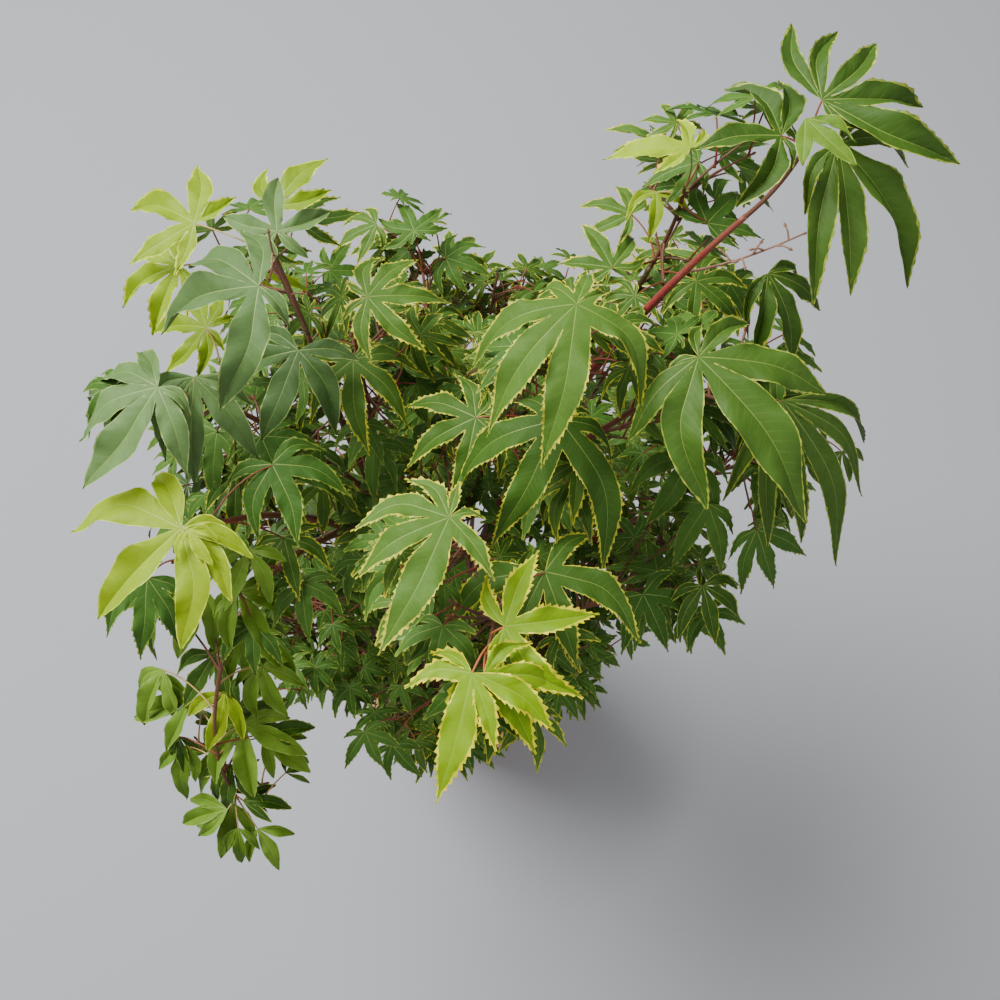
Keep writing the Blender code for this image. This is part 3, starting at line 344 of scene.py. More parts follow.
LOBE_LENGTHS = {3: (1.0, 0.75), 5: (1.0, 0.93, 0.62), 7: (1.0, 0.95, 0.78, 0.42)}
NOTCH = 0.42  # where two lobes of a plain star part, as a share of their length
BACK_NOTCH = 0.20
HUB_THICK = 0.045
HANG_SHORTENS = 0.25
HANG_DROPS = 0.50
WIDEST_SHARE = 0.95  # of the room between two lobes
LEAST_WIDTH = 0.70  # of a free lobe's
LEAST_PEAK = 0.08  # of a lobe's free length, from the notch to its widest place
TAPER_POWER, TAPER_SWELL = 1.45, 1.05
ROUND_POWER = 0.85
VEIN_SLANT = 0.85
VEIN_START, VEIN_PEAK = 0.6, 0.3  # the width that side veins slant by: its start, and where it is most
VEIN_RIDGE = 0.16  # how far the blade stands up between two side veins, as a share of their spacing
RIDGE_VARIES = (0.3, 1.3)
FOLD = 0.12  # slope of each half of a lobe, up from its midrib
CAMBER = 5.5  # and its curve back down, per metre
TIP_THINS = 0.7  # share of a blade's thickness and of its midrib's width that its tip has lost
MOST_MIDRIB = 0.25  # of the half lobe's width
LOBE_STRAYS = 4  # degrees
LOBE_VARIES = (0.90, 1.08)
LOBE_HANGS = (0.70, 1.35)
LOBE_TWIST = 34  # degrees, at a tip
LOBE_BEND = 9
LOBE_DRAW = 17  # degrees that lobes at the side bend towards the middle one
TIP_CURL = (0.0, 0.30)
CURL_DROPS = 0.5
BEND_START = 0.35  # share of a lobe's length where it starts to bend, at the least
MARGIN_WAVES, WAVE_LAG = 2.3, 0.25  # along a lobe, and how far its two sides are out of step
WAVE_EDGE = 1.2  # times the lobe's half-width, past which waves grow no higher
RIDGE_GROWS, FOLD_GROWS, WAVE_GROWS, TURN_GROWS = 8, 2.5, 4, 3  # how fast, from the notch to the tip
FULL_LEAF = 0.05  # shorter leaves have smaller teeth and a narrower pale margin
TOOTH_VARIES = (0.30, 1.50)
TOOTH_LEAN, FULL_TOOTH = 0.8, 0.0007
TOOTH_GAP = 0.35  # how far the margin draws in between two teeth, as a share of their depth
END_TEETH = 0.02  # share of the free margin where teeth are no smaller
EDGE_VARIES = (0.30, 1.30)
EDGE_START, EDGE_GROWS = 0.6, 0.8  # width of the pale margin at the notch, and how much it gains
EDGE_GAP = 0.7  # its width between two teeth, as a share of that on a tooth
MOST_EDGE = 0.35  # of the half lobe's width
LEAF_THICK = 0.00030
WELD = 1e-6
PLACE_BITS = 21  # enough for two metres in steps of WELD
LEAST_SPAN, LEAST_NORMAL = 1e-9, 1e-12  # keep a division from failing at a tip

# Material slots of a leaf: blade, pale margin, midrib and underside
BLADE, MARGIN, MIDRIB, UNDER = range(4)

# How finely a leaf is made: rows where two lobes are still one blade, the fewest teeth on a side, how much
# wider apart than the tint's its teeth are, half-width of the midrib, height of the margin's waves as a
# share of a lobe's length, whether ridges stand between the side veins, the slot of each column of faces
# from midrib to margin, and the columns of points that the underside has too
Detail = namedtuple("Detail", "rows least_teeth spacing midrib wave ridged slots under")
FINE = Detail(3, 3, 1.0, 0.00027, 0.032, True, (MIDRIB, BLADE, BLADE, MARGIN), [0, 2, 3, 4])
PLAIN = Detail(2, 2, 1.5, 0.00020, 0.012, False, (MIDRIB, BLADE, MARGIN), [0, 3])

# Lobes of the uneven leaves, from right to left: angle from the leaf's heading (degrees), and length
# as a share of the leaf's
SHAPES = {
    "claw": ((-145, 0.4), (-80, 0.45), (-30, 0.8), (0, 1.0), (28, 1.0), (90, 0.75), (165, 0.3)),
    "skirt": ((-140, 0.35), (-90, 0.6), (-40, 1.0), (2, 1.0), (53, 1.05), (100, 0.55), (150, 0.3)),
    "large": ((-125, 0.2), (-90, 0.55), (-58, 0.75), (-10, 1.0), (25, 0.75), (70, 0.4), (120, 0.25)),
    "cross": ((-88, 1.0), (-38, 0.7), (0, 0.85), (46, 1.0), (108, 0.6)),
    "dart": ((-165, 0.3), (-120, 0.45), (-72, 0.7), (-35, 0.75), (0, 1.0), (50, 0.52), (120, 0.25)),
    "tongue": ((-105, 0.4), (-70, 0.55), (0, 1.0), (27, 0.6), (65, 0.78)),
    "oar": ((-93, 0.7), (-46, 0.9), (-10, 0.95), (53, 1.0), (105, 0.4)),
    "shell": ((-93, 0.5), (-57, 0.65), (-22, 0.8), (15, 1.0), (60, 0.7), (105, 0.35)),
    "star": ((-95, 0.72), (-56, 1.12), (0, 1.0), (50, 0.95), (80, 0.7), (112, 0.6), (150, 0.35)),
    "fan": ((-85, 0.35), (-60, 1.05), (-32, 0.8), (0, 0.7), (42, 0.66), (62, 0.75)),
    "mane": ((-66, 0.45), (-42, 0.65), (-20, 0.85), (0, 0.92), (20, 1.16), (42, 0.9), (62, 0.85)),
    "drooping": ((-70, 0.45), (-42, 0.95), (-22, 0.9), (8, 1.0), (58, 0.66), (95, 0.3)),
    "split": ((-98, 0.85), (-66, 0.95), (0, 0.9), (55, 0.9), (100, 0.35)),
    "lopsided": ((-73, 0.4), (-29, 0.55), (35, 1.0), (75, 0.5)),
}

# Tints: blade colour, margin colour, width of the pale margin, tooth spacing and depth (m),
# half-width of a lobe, where it is widest and where two lobes part, as shares of a lobe's length,
# how drawn out its tips are, how much it folds, roughness, the kind of petiole, the numbers of
# lobes that the rule deals out, and the slot of the record
Tint = namedtuple(
    "Tint", "blade margin edge spacing tooth width peak cut point fold roughness petiole lobes slot")
TINTS = {
    "mid": Tint(
        (0.054, 0.124, 0.016), (0.720, 0.640, 0.030), 0.0007, 0.0030, 0.00095,
        0.130, 0.48, 0.18, 1.00, 0.45, 0.60, "red", (5, 7), "leaf_green"),
    "deep": Tint(
        (0.052, 0.128, 0.018), (0.300, 0.340, 0.026), 0.0004, 0.0036, 0.00060,
        0.142, 0.46, 0.25, 1.00, 0.40, 0.60, "red", (5, 7), "leaf_green"),
    "smooth": Tint(
        (0.042, 0.098, 0.012), (0.420, 0.450, 0.035), 0.0007, 0.0044, 0.00030,
        0.142, 0.48, 0.09, 0.50, 0.95, 0.55, "red", (5,), "leaf_green"),
    "grey": Tint(
        (0.082, 0.155, 0.046), (0.340, 0.420, 0.090), 0.0005, 0.0050, 0.00018,
        0.160, 0.50, 0.12, 0.55, 0.80, 0.56, "pale", (5, 7), "leaf_grey_green"),
    "yellow": Tint(
        (0.210, 0.330, 0.007), (0.600, 0.600, 0.030), 0.0007, 0.0040, 0.00055,
        0.150, 0.46, 0.15, 0.85, 0.70, 0.56, "pale", (5,), "leaf_bright"),
    "fresh": Tint(
        (0.100, 0.195, 0.020), (0.300, 0.400, 0.050), 0.0004, 0.0055, 0.00012,
        0.155, 0.50, 0.06, 0.45, 0.95, 0.54, "pale", (3, 3, 5), "leaf_bright"),
    "lime": Tint(
        (0.240, 0.355, 0.008), (0.620, 0.640, 0.060), 0.0005, 0.0050, 0.00014,
        0.150, 0.50, 0.05, 0.50, 1.00, 0.54, "pale", (3, 5), "leaf_bright"),
    "new": Tint(
        (0.140, 0.260, 0.001), (0.820, 0.640, 0.010), 0.0010, 0.0034, 0.00095,
        0.138, 0.47, 0.15, 1.00, 0.60, 0.55, "coral", (5,), "leaf_bright"),
}

# ------------------------ finishes

# Mottled finishes: size of the blotches (m), how much of the second colour they show, roughness, and
# the depth (m) and strength of their relief
Mottle = namedtuple("Mottle", "size amount roughness depth strength", defaults=(0.6,))
SOIL_MOTTLE = Mottle(0.006, 0.8, 0.93, 0.0012, 0.9)
CRUMB_MOTTLE = Mottle(0.003, 0.8, 0.95, 0.0004)
CHIP_MOTTLE = Mottle(0.004, 0.9, 0.85, 0.0004)
LENTICEL_MOTTLE = Mottle(0.004, 0.8, 0.8, 0.0001)
TWIG_MOTTLE = Mottle(0.006, 0.7, 0.55, 0.00015)
DRY_MOTTLE = Mottle(0.005, 0.8, 0.75, 0.0002)
MARGIN_MOTTLE = Mottle(0.0035, 0.95, 0.55, 0.0001)
UNDER_MOTTLE = Mottle(0.006, 0.7, 0.62, 0.0002)

CHIP_COLOURS = (0.130, 0.070, 0.040), (0.060, 0.032, 0.020)
LENTICEL_COLOURS = (0.330, 0.230, 0.160), (0.220, 0.140, 0.090)
TWIG_PATCH = (0.130, 0.070, 0.030)
LICHEN = (0.230, 0.215, 0.165)
SHOOT_PATCH = (0.150, 0.085, 0.035)
BRIGHT_CLAY = (0.62, 0.30, 0.17)
SKY_COLOUR = (0.97, 0.98, 1.0)

# Petioles: the two colours of each kind, their mottling and the slot of the record
Petiole = namedtuple("Petiole", "colour other mottle slot")
PETIOLES = {
    "red": Petiole(
        (0.200, 0.024, 0.018), (0.170, 0.075, 0.020), Mottle(0.010, 0.7, 0.42, 0.00008), "young_bark"),
    "coral": Petiole(
        (0.560, 0.130, 0.060), (0.420, 0.200, 0.040), Mottle(0.012, 0.7, 0.40, 0.00008), "young_bark"),
    "pale": Petiole(
        (0.360, 0.330, 0.090), (0.400, 0.150, 0.070), Mottle(0.016, 0.8, 0.42, 0.00008), "leaf_bright"),
}

# Shares of a second colour
VEIN_PALE, MIDRIB_PALE = 0.50, 0.42
UNDER_PALE, UNDER_PALER = 0.2, 0.45
VEIN_SEEN = 0.12
SHADE_RANGE = 0.55
LICHEN_SHARE, PATCH_SHARE = 0.55, 0.35
BRIGHT_SHARE, GRAIN_SHARE, BLOOM_SHARE = 0.45, 0.28, 0.62

# ------------------------ pot, soil and bark

POT_FLOOR = 0.010
POT_WALL = 0.008
POT_FLARE = 0.003  # of the wall, where it leaves the foot
FLOOR_ROUND, FLOOR_TURN = 0.004, 0.012  # radius of the corner inside, and how high the wall starts
LIP_ROUND = 0.0035
BAND_HEIGHT, BAND_DEPTH = 0.032, 0.005
BAND_EDGE = 0.0035, 0.002, 0.0018  # its lower edge: centre, out from the wall and up, and radius
BAND_SHADOW = 0.0010
FOOT_ROUND, FOOT_INSET, FOOT_WIDTH = 0.003, 0.001, 0.012
INNER_RINGS = (0.05, 0.09, 0.13, 0.17)
OUTER_RINGS = (0.15, 0.12, 0.09, 0.06, 0.03)
POT_WOBBLE = ((16, 0.0006), (70, 0.00012))  # waves in a metre, and their height
TRUE_HEIGHT, TRUE_RADIUS = 0.004, 0.02  # below or inside these the pot doesn't wobble
DRAINS, DRAIN_SIDES = 4, 24
DRAIN_RADIUS, DRAIN_RING, DRAIN_DEPTH = 0.006, 0.046, 0.03
SAME_POINT = 0.00001
POT_SHARP, LEAF_SHARP = 50, 75  # degrees

SOIL_RINGS, SOIL_SPOKES = 46, 120
SOIL_DEPTH = 0.020
SOIL_ROUGH = ((60, 0.0016), (260, 0.0009))
SOIL_DISH, DISH_START, SOIL_SUNK = 0.004, 0.045, 0.0012
CRUMBS = {"Least": 0.25, "Flatness": 0.75, "Turn": 1.0, "Seed": 3}
CHIPS = {"Density": 5200.0, "Size": 0.0062, "Least": 0.35, "Flatness": 0.28, "Turn": 0.16, "Seed": 11}
LENTICELS = {"Density": 7000.0, "Size": 0.00055, "Least": 0.45, "Flatness": 0.35, "Turn": 0.0, "Seed": 5}
LUMP_BREADTH = 0.8
SIZE_SEED = 7  # added to a scatter's seed, so that sizes don't follow turns

TRUNK_SIDES, BOUGH_SIDES = 36, 14
COLLAR, COLLAR_LENGTH = 0.45, 0.008  # how much a bough swells where it starts, and for how far
BUTTRESS, BUTTRESS_HEIGHT, BUTTRESSES, BUTTRESS_TURN = 0.16, 0.018, 5, 0.6
FULL_RELIEF, LEAST_RELIEF = 0.006, 0.02  # thinner limbs than this have less relief, down to the least
BARK_GRAIN = ((1.6, 0.8), (4.5, 0.45))
GRAIN_ROUND, GRAIN_ALONG = 2.2, 26
GRAIN_RADIUS, GRAIN_POWER = 0.010, 0.3
YOUNG_RADIUS, AGING = 0.0030, 0.0045  # bark is young up to this, and old where it is that much thicker
BROWN_TONES = (0.3, 1.0)

# ------------------------ stage

FLOOR_REACH = 30
LIGHTS = {"key": (1.6, (-1.1, 0.7, 2.7)), "fill": (2.2, (1.6, -1.5, 2.0))}  # width and place
LIGHT_AIM = Vector((0, 0, 0.7))
SENSOR_WIDTH = 36
FRAME_PIXELS = 1000


def colour_setting(name, description, default):
    return FloatVectorProperty(
        name=name, description=description, subtype="COLOR", size=3, min=0, max=1, default=default)


def leaf_setting(name):
    label = f"{name.capitalize()} leaf"
    return colour_setting(label, f"Blade colour of the {name} leaves", TINTS[name].blade)


class MapleLeafSettings(bpy.types.PropertyGroup):
    mid: leaf_setting("mid")
    deep: leaf_setting("deep")
    smooth: leaf_setting("smooth")
    grey: leaf_setting("grey")
    yellow: leaf_setting("yellow")
    fresh: leaf_setting("fresh")
    lime: leaf_setting("lime")
    new: leaf_setting("new")
    vein: colour_setting("Midrib", "Colour of the midribs", (0.300, 0.380, 0.060))
    under: colour_setting("Underside", "Colour that the undersides are mixed with", (0.260, 0.340, 0.110))
    thickness: FloatProperty(
        name="Thickness", description="Thickness of a blade at its joint", unit="LENGTH",
        min=0.0001, max=0.001, default=LEAF_THICK)


class MapleWoodSettings(bpy.types.PropertyGroup):
    bark: colour_setting("Old bark", "Colour of the trunk's bark", (0.170, 0.125, 0.090))
    shoot: colour_setting("Young bark", "Colour of the thin boughs", (0.190, 0.028, 0.022))
    shaded_shoot: colour_setting("Shaded bark", "Colour of the browner thin boughs", (0.105, 0.062, 0.026))
    twig: colour_setting("Twigs", "Colour of the twigs", (0.140, 0.042, 0.024))
    dry: colour_setting("Dry stalks", "Colour of the dry flower stalks", (0.300, 0.150, 0.095))
    relief: FloatProperty(
        name="Bark relief", description="Depth of the bark's ridges, as a share of the limb's radius",
        min=0, max=0.3, default=0.085)
    twig_sides: IntProperty(name="Twig sides", description="Sides of a twig", min=3, max=12, default=6)


class MaplePotSettings(bpy.types.PropertyGroup):
    clay: colour_setting("Clay", "Colour of the fired clay", (0.440, 0.165, 0.080))
    bloom: colour_setting("Bloom", "Colour of the lime bloom on the clay", (0.640, 0.520, 0.430))
    soil: colour_setting("Soil", "Colour of the moist compost", (0.040, 0.024, 0.015))
    steps: IntProperty(name="Steps", description="Steps round the pot", min=24, max=256, default=128)
    crumbs: FloatProperty(
        name="Crumbs", description="Crumbs on a square metre of soil", min=0, max=200000, default=60000)
    crumb_size: FloatProperty(
        name="Crumb size", description="Size of the largest crumbs", unit="LENGTH", min=0.0005, max=0.01,
        default=0.0026)


class MapleStageSettings(bpy.types.PropertyGroup):
    floor: colour_setting("Floor", "Colour of the floor", (0.36, 0.37, 0.39))
    camera: FloatVectorProperty(
        name="Camera", description="Place of the camera", subtype="XYZ", unit="LENGTH", size=3,
        default=VIEWPOINT)
    elevation: FloatProperty(
        name="Elevation", description="Angle at which the camera looks down", subtype="ANGLE",
        default=math.radians(70))
    focal_pixels: FloatProperty(
        name="Focal length", description="Focal length in pixels of a frame 1000 wide", default=1085)
    key: FloatProperty(name="Key light", description="Power of the large light", unit="POWER", default=150)
    fill: FloatProperty(name="Fill light", description="Power of the second light", unit="POWER", default=16)
    sky: FloatProperty(name="Sky", description="Strength of the even light", default=0.44)


# ------------------------ meshes from arrays


class Pile:
    """Points and triangles of many small shapes, gathered for one mesh."""

    def __init__(self):
        self.points = []
        self.triangles = []
        self.slots = []
        self.corners = []
        self.shades = []
        self.count = 0
        self.faces = 0

    def add(self, points, triangles, slots=None, corners=None, shade=0.5):
        self.points.append(points)
        self.triangles.append(triangles + self.count)
        self.slots.append(np.zeros(len(triangles), np.int32) if slots is None else slots)
        self.corners.append(np.zeros((len(triangles), 3, 2)) if corners is None else corners)
        self.shades.append(np.full(len(points), shade) if np.isscalar(shade) else shade)
        self.count += len(points)
        self.faces += len(triangles)

    def mesh(self, name):
        points = np.concatenate(self.points)
        triangles = np.concatenate(self.triangles)
        mesh = bpy.data.meshes.new(name)
        mesh.vertices.add(len(points))
        mesh.vertices.foreach_set("co", points.astype(np.float32).ravel())
        mesh.loops.add(3 * len(triangles))
        mesh.loops.foreach_set("vertex_index", triangles.astype(np.int32).ravel())
        mesh.polygons.add(len(triangles))
        mesh.polygons.foreach_set("loop_start", np.arange(0, 3 * len(triangles), 3, dtype=np.int32))
        mesh.polygons.foreach_set("material_index", np.concatenate(self.slots).astype(np.int32))
        mesh.update(calc_edges=True)
        mesh.shade_smooth()
        places = mesh.uv_layers.new(name="UVMap")
        places.uv.foreach_set("vector", np.concatenate(self.corners).astype(np.float32).ravel())
        shade = mesh.attributes.new("shade", "FLOAT", "POINT")
        shade.data.foreach_set("value", np.concatenate(self.shades).astype(np.float32))
        return mesh


def new_object(name, mesh, *materials):
    obj = bpy.data.objects.new(name, mesh)
    bpy.context.scene.collection.objects.link(obj)
    for material in materials:
        mesh.materials.append(material)
    return obj


def finished(obj, slot, *nodes):
    """Puts a piece on the part's one body, in place of CAD nodes, which it hides. Its slot is not used."""
    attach(obj, BODY)
    if nodes:
        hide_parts(*nodes)
    return obj


def baked(obj):
    """The object with its evaluated mesh as its own, and its modifiers removed."""
    graph = bpy.context.evaluated_depsgraph_get()
    mesh = bpy.data.meshes.new_from_object(obj.evaluated_get(graph), depsgraph=graph)
    obj.modifiers.clear()
    obj.data = mesh
    return obj


def relief_at(place, layers):
    """Height of rough ground at a place; each layer is its waves in a unit of length, and their height."""
    return sum(noise.noise(place * waves) * height for waves, height in layers)


# ------------------------ nodes


def socket_of(sockets, name):
    """The socket with this identifier, number or name, where underscores stand for spaces."""
    for socket in sockets:
        if socket.identifier == name:
            return socket
    return sockets[int(name) if name.isdigit() else name.replace("_", " ")]


def feed(tree, socket, value):
    """Gives an input a value, a socket's output or a node's first output. A colour has three channels."""
    if isinstance(value, bpy.types.Node):
        value = value.outputs[0]
    if isinstance(value, bpy.types.NodeSocket):
        tree.links.new(value, socket)
    else:
        socket.default_value = (*value, 1) if socket.type == "RGBA" else value


def node(tree, kind, **values):
    """A new node. Values whose names start with in_ feed its inputs, and the others are its settings."""
    made = tree.nodes.new(kind)
    for key, value in values.items():
        if key.startswith("in_"):
            feed(tree, socket_of(made.inputs, key[3:]), value)
        else:
            setattr(made, key, value)
    return made


def new_tree(kind, name, inputs, outputs):
    """A node tree, with its given inputs and its outputs, from names and kinds of socket."""
    tree = bpy.data.node_groups.new(name, kind)
    for side, sockets in (("INPUT", inputs), ("OUTPUT", outputs)):
        for label, socket in sockets.items():
            tree.interface.new_socket(label, in_out=side, socket_type=f"NodeSocket{socket}")
    return tree, tree.nodes.new("NodeGroupInput").outputs, tree.nodes.new("NodeGroupOutput").inputs


def maths(tree, operation, a, b=0):
    return node(tree, "ShaderNodeMath", operation=operation, in_0=a, in_1=b)


def times(tree, a, b):
    return maths(tree, "MULTIPLY", a, b)


def plus(tree, a, b):
    return maths(tree, "ADD", a, b)


def stretched(tree, value, low, high, **to):
    """A value with its range from low to high stretched, to 0 and 1 unless it is told otherwise."""
    return node(tree, "ShaderNodeMapRange", in_Value=value, in_From_Min=low, in_From_Max=high, **to)


def mixed(tree, factor, a, b):
    """A colour mix."""
    made = node(
        tree, "ShaderNodeMix", data_type="RGBA", in_Factor_Float=factor, in_A_Color=a, in_B_Color=b)
    return socket_of(made.outputs, "Result_Color")


def shifted(tree, colour, **values):
    return node(tree, "ShaderNodeHueSaturation", in_Color=colour, **values)


def object_place(tree):
    return node(tree, "ShaderNodeTexCoord").outputs["Object"]


def split_uv(tree):
    return node(tree, "ShaderNodeSeparateXYZ", in_0=node(tree, "ShaderNodeUVMap", uv_map="UVMap")).outputs


def own_shade(tree):
    return node(tree, "ShaderNodeAttribute", attribute_name="shade").outputs["Fac"]


def noise_mask(tree, vector, scale, low, high, detail):
    """Noise between 0 and 1, with its middle stretched between low and high."""
    cloud = node(tree, "ShaderNodeTexNoise", in_Vector=vector, in_Scale=scale, in_Detail=detail)
    return stretched(tree, cloud, low, high)


@functools.lru_cache
def mottle_group():
    """Fine and broad mottling that mixes two colours, with a height for bump."""
    group, given, out = new_tree(
        "ShaderNodeTree", "Mottle", {"Colour": "Color", "Other": "Color", "Size": "Float", "Amount": "Float"},
        {"Colour": "Color", "Height": "Float"})
    place = object_place(group)
    per_metre = maths(group, "DIVIDE", 1.0, given["Size"])
    broad = node(group, "ShaderNodeTexNoise", in_Vector=place, in_Scale=per_metre, in_Detail=4.0)
    finer = times(group, per_metre, 7.0)
    fine = node(group, "ShaderNodeTexNoise", in_Vector=place, in_Scale=finer, in_Detail=2.0)
    both = plus(group, times(group, broad, 0.65), times(group, fine, 0.35))
    factor = times(group, stretched(group, both, 0.36, 0.64), given["Amount"])
    feed(group, out["Colour"], mixed(group, factor, given["Colour"], given["Other"]))
    feed(group, out["Height"], both)
    return group


@functools.lru_cache
def blade_group():
    """A blade's colour: its own shade, paler side veins, and mottling between them."""
    group, given, out = new_tree(
        "ShaderNodeTree", "Blade", {"Colour": "Color", "Vein": "Color", "Veins": "Float", "Range": "Float"},
        {"Colour": "Color", "Height": "Float", "Roughness": "Float"})
    dark = shifted(group, given["Colour"], in_Hue=0.505, in_Saturation=1.08, in_Value=0.62)
    light = shifted(group, given["Colour"], in_Hue=0.488, in_Value=1.45)
    own = mixed(group, given["Range"], given["Colour"], mixed(group, own_shade(group), dark, light))
    darker = shifted(group, own, in_Value=0.70, in_Saturation=1.05)
    mottle = node(
        group, "ShaderNodeGroup", node_tree=mottle_group(), in_Size=0.006, in_Amount=0.55,
        in_Colour=own, in_Other=darker)
    sideways, lengthways, _ = split_uv(group)
    off_vein = maths(group, "ABSOLUTE", maths(
        group, "SUBTRACT", maths(group, "FRACT", lengthways), 0.5))
    line = stretched(group, off_vein, 0.13, 0.03)
    fading = stretched(group, sideways, 0.95, 0.25)
    seen = times(group, times(group, line, fading), given["Veins"])
    height = mottle.outputs["Height"]
    feed(group, out["Colour"], mixed(group, seen, mottle, given["Vein"]))
    feed(group, out["Height"], maths(group, "SUBTRACT", height, seen))
    feed(group, out["Roughness"], stretched(group, height, 0, 1, in_To_Min=-0.06, in_To_Max=0.10))
    return group


def principled(name, roughness, colour, specular=0.35):
    """A plain material, with its tree and the inputs of its shader."""
    material = bpy.data.materials.new(name)
    material.use_nodes = True
    material.diffuse_color = (*colour, 1)
    tree = material.node_tree
    shader = tree.nodes["Principled BSDF"]
    for label, value in (("Base Color", colour), ("Roughness", roughness), ("Specular IOR Level", specular)):
        feed(tree, shader.inputs[label], value)
    return material, tree, shader.inputs


def bump(tree, shader, height, depth, strength):
    made = node(tree, "ShaderNodeBump", in_Height=height, in_Distance=depth, in_Strength=strength)
    feed(tree, shader["Normal"], made)


def blade_material(name, colour, vein, roughness):
    material, tree, shader = principled(name, roughness, colour, specular=0.15)
    blade = node(
        tree, "ShaderNodeGroup", node_tree=blade_group(), in_Veins=VEIN_SEEN, in_Range=SHADE_RANGE,
        in_Colour=colour, in_Vein=vein)
    feed(tree, shader["Base Color"], blade)
    feed(tree, shader["Roughness"], plus(tree, blade.outputs["Roughness"], roughness))
    bump(tree, shader, blade.outputs["Height"], depth=0.00025, strength=0.45)
    return material


def mottled_material(name, colour, other, mottle):
    material, tree, shader = principled(name, mottle.roughness, colour)
    blotches = node(
        tree, "ShaderNodeGroup", node_tree=mottle_group(), in_Size=mottle.size, in_Amount=mottle.amount,
        in_Colour=colour, in_Other=other)
    feed(tree, shader["Base Color"], blotches)
    bump(tree, shader, blotches.outputs["Height"], mottle.depth, mottle.strength)
    return material


def scaled(colour, by):
    return tuple(min(1.0, channel * by) for channel in colour)


def between(a, b, share):
    return tuple(x + (y - x) * share for x, y in zip(a, b))


def bark_material(settings):
    """Grey-brown furrowed bark on thick limbs, smooth wine red on thin ones, by their age."""
    bark = tuple(settings.bark)
    material, tree, shader = principled("bark", 0.75, bark)
    place = object_place(tree)
    along = node(tree, "ShaderNodeMapping", in_Vector=place, in_Scale=(1, 1, 0.16))
    furrows = noise_mask(tree, along, scale=420.0, low=0.40, high=0.60, detail=5.0)
    patches = noise_mask(tree, place, scale=55.0, low=0.42, high=0.62, detail=4.0)
    flecks = noise_mask(tree, place, scale=900.0, low=0.55, high=0.70, detail=2.0)
    age = own_shade(tree)
    tone = split_uv(tree)["X"]
    old = mixed(tree, furrows, scaled(bark, 0.45), bark)
    old = mixed(tree, times(tree, patches, LICHEN_SHARE), old, LICHEN)
    young = mixed(tree, tone, tuple(settings.shoot), tuple(settings.shaded_shoot))
    young = mixed(tree, flecks, young, shifted(tree, young, in_Value=1.8))
    young = mixed(tree, times(tree, patches, PATCH_SHARE), young, SHOOT_PATCH)
    feed(tree, shader["Base Color"], mixed(tree, age, young, old))
    feed(tree, shader["Roughness"], plus(tree, times(tree, age, 0.40), 0.42))
    bump(tree, shader, times(tree, furrows, age), depth=0.0006, strength=0.8)
    return material


def clay_material(settings):
    """Fired clay with broad kiln shading, lime bloom near the rim and foot, and small pits."""
    clay = tuple(settings.clay)
    material, tree, shader = principled("clay", 0.88, clay)
    place = object_place(tree)
    bands = node(tree, "ShaderNodeMapping", in_Vector=place, in_Scale=(1, 1, 14))
    broad = noise_mask(tree, place, scale=14.0, low=0.38, high=0.64, detail=5.0)
    fine = noise_mask(tree, place, scale=260.0, low=0.35, high=0.65, detail=3.0)
    pits = noise_mask(tree, place, scale=900.0, low=0.62, high=0.72, detail=2.0)
    turned = noise_mask(tree, bands, scale=22.0, low=0.40, high=0.62, detail=2.0)
    patchy = noise_mask(tree, place, scale=38.0, low=0.44, high=0.62, detail=6.0)
    height = node(tree, "ShaderNodeSeparateXYZ", in_0=place).outputs["Z"]
    from_middle = maths(tree, "ABSOLUTE", maths(tree, "SUBTRACT", height, 0.55 * POT_HEIGHT))
    at_ends = stretched(tree, from_middle, 0.18 * POT_HEIGHT, 0.55 * POT_HEIGHT)
    bloom = times(tree, times(tree, at_ends, patchy), BLOOM_SHARE)
    colour = mixed(tree, broad, scaled(clay, 0.80), between(clay, BRIGHT_CLAY, BRIGHT_SHARE))
    colour = mixed(tree, times(tree, fine, GRAIN_SHARE), colour, scaled(clay, 0.62))
    feed(tree, shader["Base Color"], mixed(tree, bloom, colour, tuple(settings.bloom)))
    bumps = plus(tree, times(tree, turned, 0.6), times(tree, fine, 0.5))
    bump(tree, shader, maths(tree, "SUBTRACT", bumps, pits), depth=0.0005, strength=0.7)
    return material


# ------------------------ geometry node trees


def geometry_tree(name, inputs):
    return new_tree("GeometryNodeTree", name, {"Geometry": "Geometry", **inputs}, {"Geometry": "Geometry"})


def close_tree(tree, geometry, material, out, smooth):
    """Ends a tree: Realize Instances, shading and Set Material."""
    realized = node(tree, "GeometryNodeRealizeInstances", in_Geometry=geometry)
    shaded = node(tree, "GeometryNodeSetShadeSmooth", in_Geometry=realized, in_Shade_Smooth=smooth)
    feed(tree, out["Geometry"], node(
        tree, "GeometryNodeSetMaterial", in_Geometry=shaded, in_Material=material))


def run_tree(obj, tree, **values):
    """Runs a geometry tree on an object with its named inputs, and keeps the mesh that it makes."""
    modifier = obj.modifiers.new(tree.name, "NODES")
    modifier.node_group = tree
    names = {item.name: item.identifier for item in tree.interface.items_tree if item.in_out == "INPUT"}
    for label, value in values.items():
        modifier[names[label]] = value
    return baked(obj)


@functools.lru_cache
def stalks_tree():
    """Round stalks along the edges of a mesh, as thick as its radius attribute says."""
    tree, given, out = geometry_tree("Stalks", {"Sides": "Int", "Material": "Material"})
    lines = node(tree, "GeometryNodeMeshToCurve", in_Mesh=given["Geometry"])
    ring = node(tree, "GeometryNodeCurvePrimitiveCircle", in_Resolution=given["Sides"], in_Radius=1.0)
    radius = node(tree, "GeometryNodeInputNamedAttribute", data_type="FLOAT", in_Name="radius")
    stalks = node(
        tree, "GeometryNodeCurveToMesh", in_Curve=lines, in_Profile_Curve=ring, in_Scale=radius,
        in_Fill_Caps=True)
    close_tree(tree, stalks, given["Material"], out, smooth=True)
    return tree


